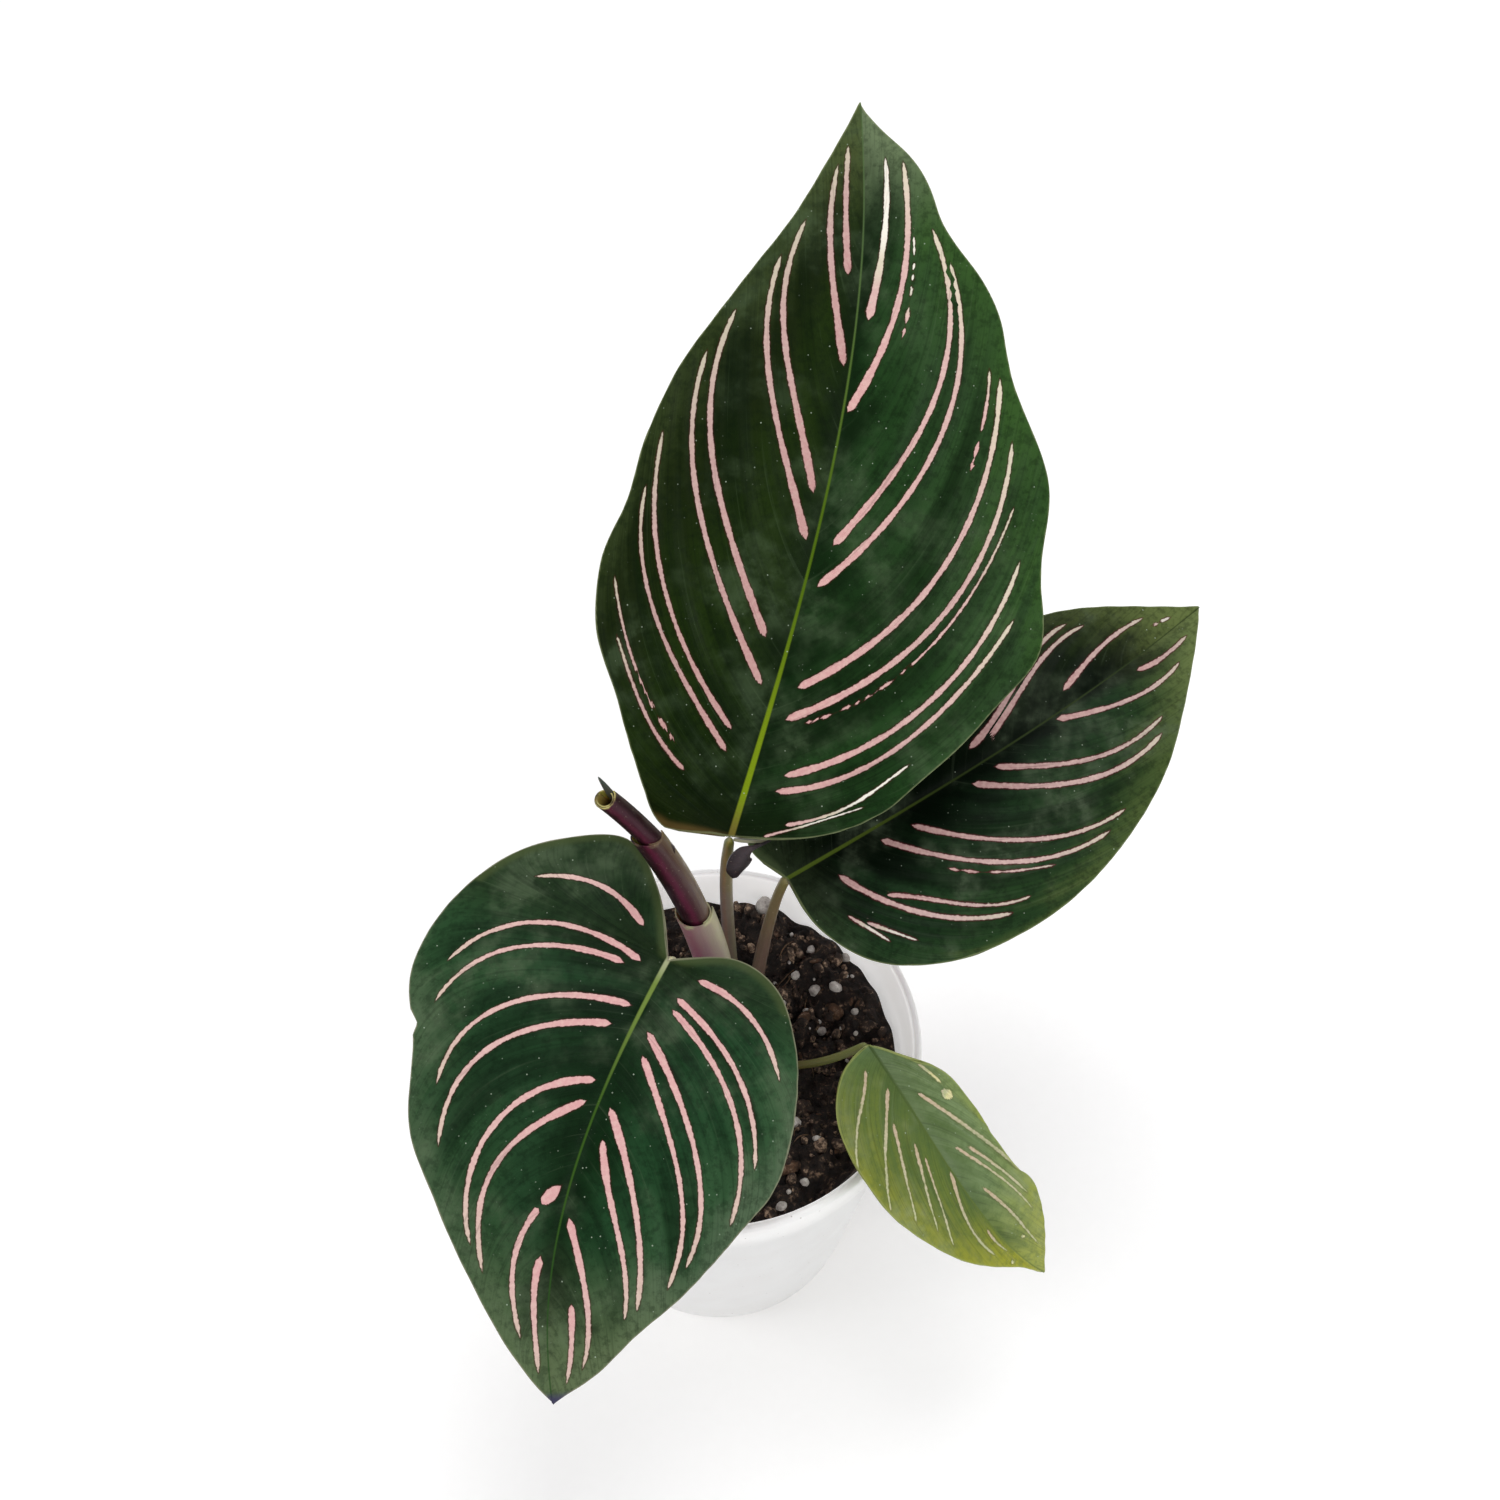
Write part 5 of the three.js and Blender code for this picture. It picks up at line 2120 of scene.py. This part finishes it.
RIGHT = Blade(
    name="leaf_right",
    slot="blade_green",
    midrib=Line(((11.6, 13.2, 90), (35.8, 22, 101.7), (61.1, 36.7, 107.2), (80.7, 57.2, 105.6))),
    faces=(-0.03, -0.29, 0.96),
    fold=0.1,
    droop=0.16,
    half=26,
    ripple=0.8,
    waves=4,
    left=(
        (0, 0), (-3, -8), (3, -17), (12, -22.5), (23, -24.5), (34, -24),
        (44.5, -22), (55, -17.5), (64.5, -13.5), (74.5, -7.5), (85, 0),
    ),
    right=(
        (0, 0), (1, 10), (6.5, 19), (16, 24.5), (27, 26), (37.5, 25.5),
        (48, 22.5), (58, 18), (67, 12), (76, 6), (85, 0),
    ),
    stripes={
        Half.LEFT: Stripe.rows(
            (5.9, -10.6, 7.1, -12.7, 8.3, -14.9, 9.4, -17, 0.4),
            (7.7, -4.2, 11.5, -12.4, 18.1, -19.8, 26.9, -22.6, 0.8),
            (12.7, -10.6, 18.6, -14.3, 22.9, -20.7, 30.3, -22, 0.5),
            (16.2, -2.6, 23.7, -11.6, 33.2, -20.9, 45.7, -20.2, 0.75),
            (21.5, -3.1, 28.8, -11.1, 38.2, -19.1, 49.7, -18.7, 0.72),
            (36, -3, 44.9, -4.6, 54.1, -12.6, 62.6, -11.3, 0.85),
            (39.7, -2.9, 47.9, -5.6, 55.5, -11, 64.9, -9.4, 0.85),
            (54.7, -2.6, 61.7, -4.5, 67.4, -5.9, 74.8, -4.5, 0.75),
            (74.9, -2.5, 76.3, -2.3, 77.7, -2.1, 79.1, -1.8, 0.4, DASHED),
        ),
        Half.RIGHT: Stripe.rows(
            (5.9, 10.6, 7.1, 12.7, 8.3, 14.9, 9.4, 17, 0.4, BLEACHED),
            (7.8, 12.8, 9.5, 14.8, 11.2, 16.9, 12.9, 18.9, 0.38, BLEACHED),
            (7.7, 4.2, 11.5, 12.4, 18.1, 19.8, 26.9, 22.6, 0.78),
            (12.7, 10.6, 18.6, 14.3, 22.9, 20.7, 30.3, 22, 0.5),
            (22.6, 12, 26.3, 15.6, 31, 18.1, 35.8, 20.1, 0.4, TRAILING),
            (16.2, 2.6, 23.7, 11.6, 33.2, 20.9, 45.7, 20.2, 0.78),
            (21.5, 3.1, 28.8, 11.1, 38.2, 19.1, 49.7, 18.7, 0.74),
            (33.1, 2.5, 41.5, 9.3, 49.9, 15.3, 61.7, 12.7, 0.84),
            (37.6, 2, 45.7, 7.8, 53.1, 12.4, 63.7, 10.5, 0.76),
            (50.6, 1, 58.3, 4.3, 64.6, 6.9, 73.2, 5.1, 0.82),
            (67, 2, 70.7, 3.1, 74.5, 2.7, 78.2, 2.4, 0.7),
        ),
    },
    finish=SHADED_GREEN,
    cells=(210, 46),
)
FRONT = Blade(
    name="leaf_front",
    slot="blade_green",
    midrib=Line(((-6.7, -5, 95), (-16.1, -25.3, 94), (-26, -45.3, 84.1), (-22.4, -62.1, 68.3))),
    faces=(-0.07, -0.41, 0.91),
    fold=0.08,
    droop=0.14,
    half=30,
    ripple=0.8,
    waves=4,
    right=(
        (0, 0), (-10, 6.5), (-16, 15), (-11, 24.5), (-3.5, 31.5), (6, 35), (16.5, 34.5),
        (25, 29.5), (35, 25.5), (42.5, 18.5), (50.5, 12), (59, 6), (67.5, 0),
    ),
    left=(
        (0, 0), (-4.5, -9), (-3, -17), (3, -22.5), (10.5, -26), (19, -28), (27.5, -28),
        (35.5, -25.5), (43, -22.5), (50.5, -18.5), (57, -13), (63.5, -7), (67.5, 0),
    ),
    stripes={
        Half.RIGHT: Stripe.rows(
            (-6.6, 2.8, -6.4, 2.9, -6.1, 3.1, -5.9, 3.2, 0.5, Brush.SPOT),
            (-3.5, 6.1, -7.1, 11.8, -7.6, 16.8, -3.8, 24.4, 0.92),
            (2, 3.9, -0.5, 14.2, 2.4, 26.3, 13.4, 29.9, 0.87),
            (3.5, 6, 3.8, 15.7, 8.5, 27.2, 19.2, 28.7, 0.78),
            (9, 2, 10.5, 11.8, 16.8, 25.3, 28.8, 23.7, 0.83),
            (12.8, 3.4, 16.2, 13.5, 23.8, 24.2, 36, 20.2, 0.9),
            (21.2, 2, 24.9, 12.6, 36.4, 17.6, 46.6, 12.2, 0.92),
            (24.6, 2.1, 32.4, 10.8, 38.2, 14.3, 49.8, 9.9, 0.92),
            (36.9, 1.4, 44.8, 6.8, 49.2, 6.2, 58, 3.9, 0.87, Brush.BUDDED),
            (47.1, 1.9, 52.3, 2.7, 57.6, 1.4, 62.8, 1.5, 0.83),
        ),
        Half.LEFT: Stripe.rows(
            (1.1, -6, 0.7, -13.4, 4, -18.8, 10.1, -22.9, 0.92),
            (5.2, -4.4, 8.4, -14.1, 14.1, -22.3, 24.8, -24.4, 0.81),
            (7.2, -4.6, 12.5, -16.9, 21.3, -24.3, 35.2, -23.7, 0.83),
            (11.9, -2.7, 19.5, -12.8, 30.9, -22.3, 44.4, -18.9, 0.9),
            (15.5, -3.5, 25.3, -12.6, 34.2, -20.1, 48.7, -16.8, 0.81),
            (24.4, -2.2, 32, -8.9, 42.5, -13.6, 52.8, -12.8, 0.97),
            (29.1, -2.7, 37.6, -6.1, 44.5, -12, 54.4, -11.1, 0.9),
            (41.1, -1.3, 47.6, -4.6, 55.2, -7.8, 62.5, -4.9, 0.87),
            (53.2, -3.4, 57, -3.7, 61, -3.7, 64.6, -2.4, 0.74),
        ),
    },
    finish=FRONT_GREEN,
    cells=(220, 58),
    corner=(0.561, 0.014, 0, -1.0),
    corner_half=Half.RIGHT,
)
LOW = Blade(
    name="leaf_low",
    slot="blade_pale",
    midrib=Line(((24.6, -7.2, 73), (33.3, -21.5, 72.2), (42.5, -35.5, 60.1), (53.3, -33.9, 46.2))),
    faces=(0.44, -0.36, 0.82),
    fold=0.16,
    droop=0.1,
    half=14,
    ripple=0.5,
    waves=3,
    right=(
        (0, 0), (2.5, 7), (7.5, 12), (13.5, 14), (20.5, 13.5), (26.5, 11.5),
        (33, 8.5), (38.5, 5), (44.5, 1.5), (51, 0),
    ),
    left=(
        (0, 0), (5.5, -4.5), (10.5, -8.5), (17.5, -9.5), (24, -9), (30.5, -9.5),
        (37, -10.5), (43, -8), (48, -4.5), (51, 0),
    ),
    stripes={
        Half.RIGHT: Stripe.rows(
            (4, 3.7, 8.2, 6.6, 10.6, 11.9, 15.1, 14, 0.42),
            (7.9, 1.9, 12.4, 5.6, 16.6, 9.9, 21.8, 12.8, 0.5),
            (12.7, 4.4, 16.9, 6.2, 21.2, 8.1, 25.3, 10.2, 0.36),
            (16.9, 3.2, 20.7, 4.8, 24.5, 6.5, 28.1, 8.3, 0.38),
            (19.5, 2.9, 23.5, 4.3, 27.4, 5.8, 31.2, 7.7, 0.36),
            (23.7, 0.2, 29.1, 2.6, 32.2, 4.4, 38.3, 3, 0.58),
            (34.8, 1.2, 36.7, 1.5, 38.6, 1.3, 40.4, 0.9, 0.36),
            (41.9, 1.6, 42.1, 1.7, 42.3, 1.8, 42.6, 1.9, 0.6, Brush.SPOT),
        ),
        Half.LEFT: Stripe.rows(
            (6.9, -5.2, 8.4, -5.9, 9.8, -6.4, 11.4, -6.7, 0.55, BLEACHED),
            (12.3, -6, 13, -6.3, 13.7, -6.6, 14.5, -6.8, 1.9, Brush.SPOT),
            (10.9, -2.4, 18, -5.8, 25.2, -8.8, 33.1, -10, 0.46),
            (22.3, -4.6, 26.9, -6.7, 31.8, -7.9, 36.9, -8.2, 0.38),
            (21.2, -2.8, 27.2, -5.5, 33.1, -7.6, 39.8, -6.9, 0.42),
            (29.3, -2.7, 34.8, -4.3, 40.6, -4.3, 46.2, -3.4, 0.42),
            (41.2, -2.4, 41.5, -2.5, 41.9, -2.7, 42.2, -2.8, 0.6, Brush.SPOT),
        ),
    },
    finish=PALE_GREEN,
    cells=(140, 34),
    quilts=(15, 0.1),
    channel=0.25,
    keel=(0.6, 0.5, 0.36, 0.24, 0.14),
)
EAR = Curl(
    "curled_ear",
    Line(((8.6, 12.6, 101.6), (5.0, 9.2, 103.6), (3.8, 8.6, 103.2), (3.4, 8.3, 97.9))),
    (0.7, 1.2, 2.1, 3.5, 4.3, 3.9, 0.9),
    EAR_SKIN,
    twist=80,
)
FOLD = Curl(
    "base_fold",
    Line(((3.2, 11.9, 102.6), (4.6, 11.6, 102.9), (6.2, 11.5, 102.5), (8.2, 12.2, 101.9))),
    (0.5, 1.5, 1.3, 0.8, 0.3),
    FOLD_SKIN,
    hollow=0.2,
)
GREY_OLIVE = StemFinish(
    "stalk_back",
    along=(
        (0.0, (48, 40, 38)), (0.35, (104, 94, 98)), (0.62, (122, 112, 112)), (0.78, (118, 110, 84)),
        (0.94, (116, 110, 58)), (1.0, (104, 118, 26)),
    ),
    around=(
        (0.0, (120, 116, 62)), (0.55, (116, 108, 106)), (0.7, (142, 100, 62)), (0.78, (112, 98, 60)),
        (0.9, (124, 118, 60)), (1.0, (120, 116, 62)),
    ),
    around_share=0.42,
    streak=(120, 92, 66),
)
OLIVE = StemFinish(
    "stalk_right",
    along=((0.0, (58, 46, 42)), (0.4, (112, 94, 84)), (0.75, (126, 114, 74)), (1.0, (124, 122, 56))),
    around=((0.0, (110, 100, 60)), (0.6, (140, 122, 100)), (0.8, (116, 92, 76)), (1.0, (100, 84, 60))),
    around_share=0.35,
    streak=(96, 68, 58),
)
MOSS = StemFinish(
    "stalk_front",
    along=((0.0, (50, 42, 36)), (0.5, (88, 84, 58)), (0.85, (128, 130, 96)), (1.0, (176, 172, 138))),
    streak=(80, 62, 44),
)
STRAW = StemFinish(
    "stalk_low",
    along=((0.0, (50, 42, 24)), (0.4, (84, 78, 34)), (1.0, (110, 116, 58))),
    streak=(92, 70, 38),
)
STALKS = (
    Stalk(
        "stalk_back", Line(((2.6, 13.4, 46), (2.6, 16.2, 70), (0.9, 13.8, 86), (2.6, 11.9, 102.9))),
        (1.4, 1.2, 1.08, 1.05, 1.0, 0.75), GREY_OLIVE,
    ),
    Stalk(
        "stalk_right", Line(((5.6, 12, 46), (7.2, 15.6, 63), (9.6, 16.4, 80), (11.5, 13.2, 89.9))),
        (1.5, 1.25, 1.1, 0.95, 0.85, 0.8), OLIVE,
    ),
    Stalk(
        "stalk_front", Line(((2.2, 2.6, 46), (1.2, 0.4, 66), (-2.4, -3.2, 82), (-6.6, -4.8, 94.9))),
        (1.5, 1.3, 1.15, 1.1, 1.15, 1.0), MOSS,
    ),
    Stalk(
        "stalk_low", Line(((6.4, 5, 46), (8.4, -3, 58.5), (15, -8, 64), (24.4, -7, 72.8))),
        (1.0, 0.8, 0.7, 0.65, 0.65, 0.6), STRAW,
    ),
)
YOUNG_LEAF = YoungLeaf(
    shoot=Line(((2.6, 6.8, 46), (0.6, 7.6, 66), (-0.6, 8.8, 86), (-10.2, 7.9, 110))),
    inner=Line(((-8.6, 8.1, 107), (-10.6, 7.9, 111), (-13, 7.5, 116), (-15.5, 7, 120))),
    spike=Line(((-13.9, 8, 118.2), (-14.6, 8, 120.2), (-15.2, 7.8, 122), (-15.9, 7.6, 124.2))),
)
POT = Pot()


def dress_roots() -> None:
    """Gives the buried rhizome its finish."""
    finish = CrumbFinish("root_skin", (70, 54, 34), (132, 112, 76), (168, 150, 112), size=1.8, relief=0.2)
    Bench.wear(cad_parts["crown"], finish.made())
    LOG.info("crown: keeps its form")


def record_size() -> None:
    """Logs the frame's box and the finished box."""
    boxes = {"cad": CAD_BOX, "visual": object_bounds()}
    plain = {name: [[float(v) for v in corner] for corner in box] for name, box in boxes.items()}
    for name, box in plain.items():
        LOG.info("%s box: %s", name, box)


def main() -> None:
    """Builds the studio and the plant."""
    Studio().build()
    POT.build()
    PottingMix(POT).build()
    dress_roots()
    for part in (BACK, RIGHT, FRONT, LOW, EAR, FOLD, *STALKS, YOUNG_LEAF):
        part.build()
    record_size()


if __name__ == "__main__":
    logging.basicConfig(level=logging.INFO, format="%(message)s")
    main()
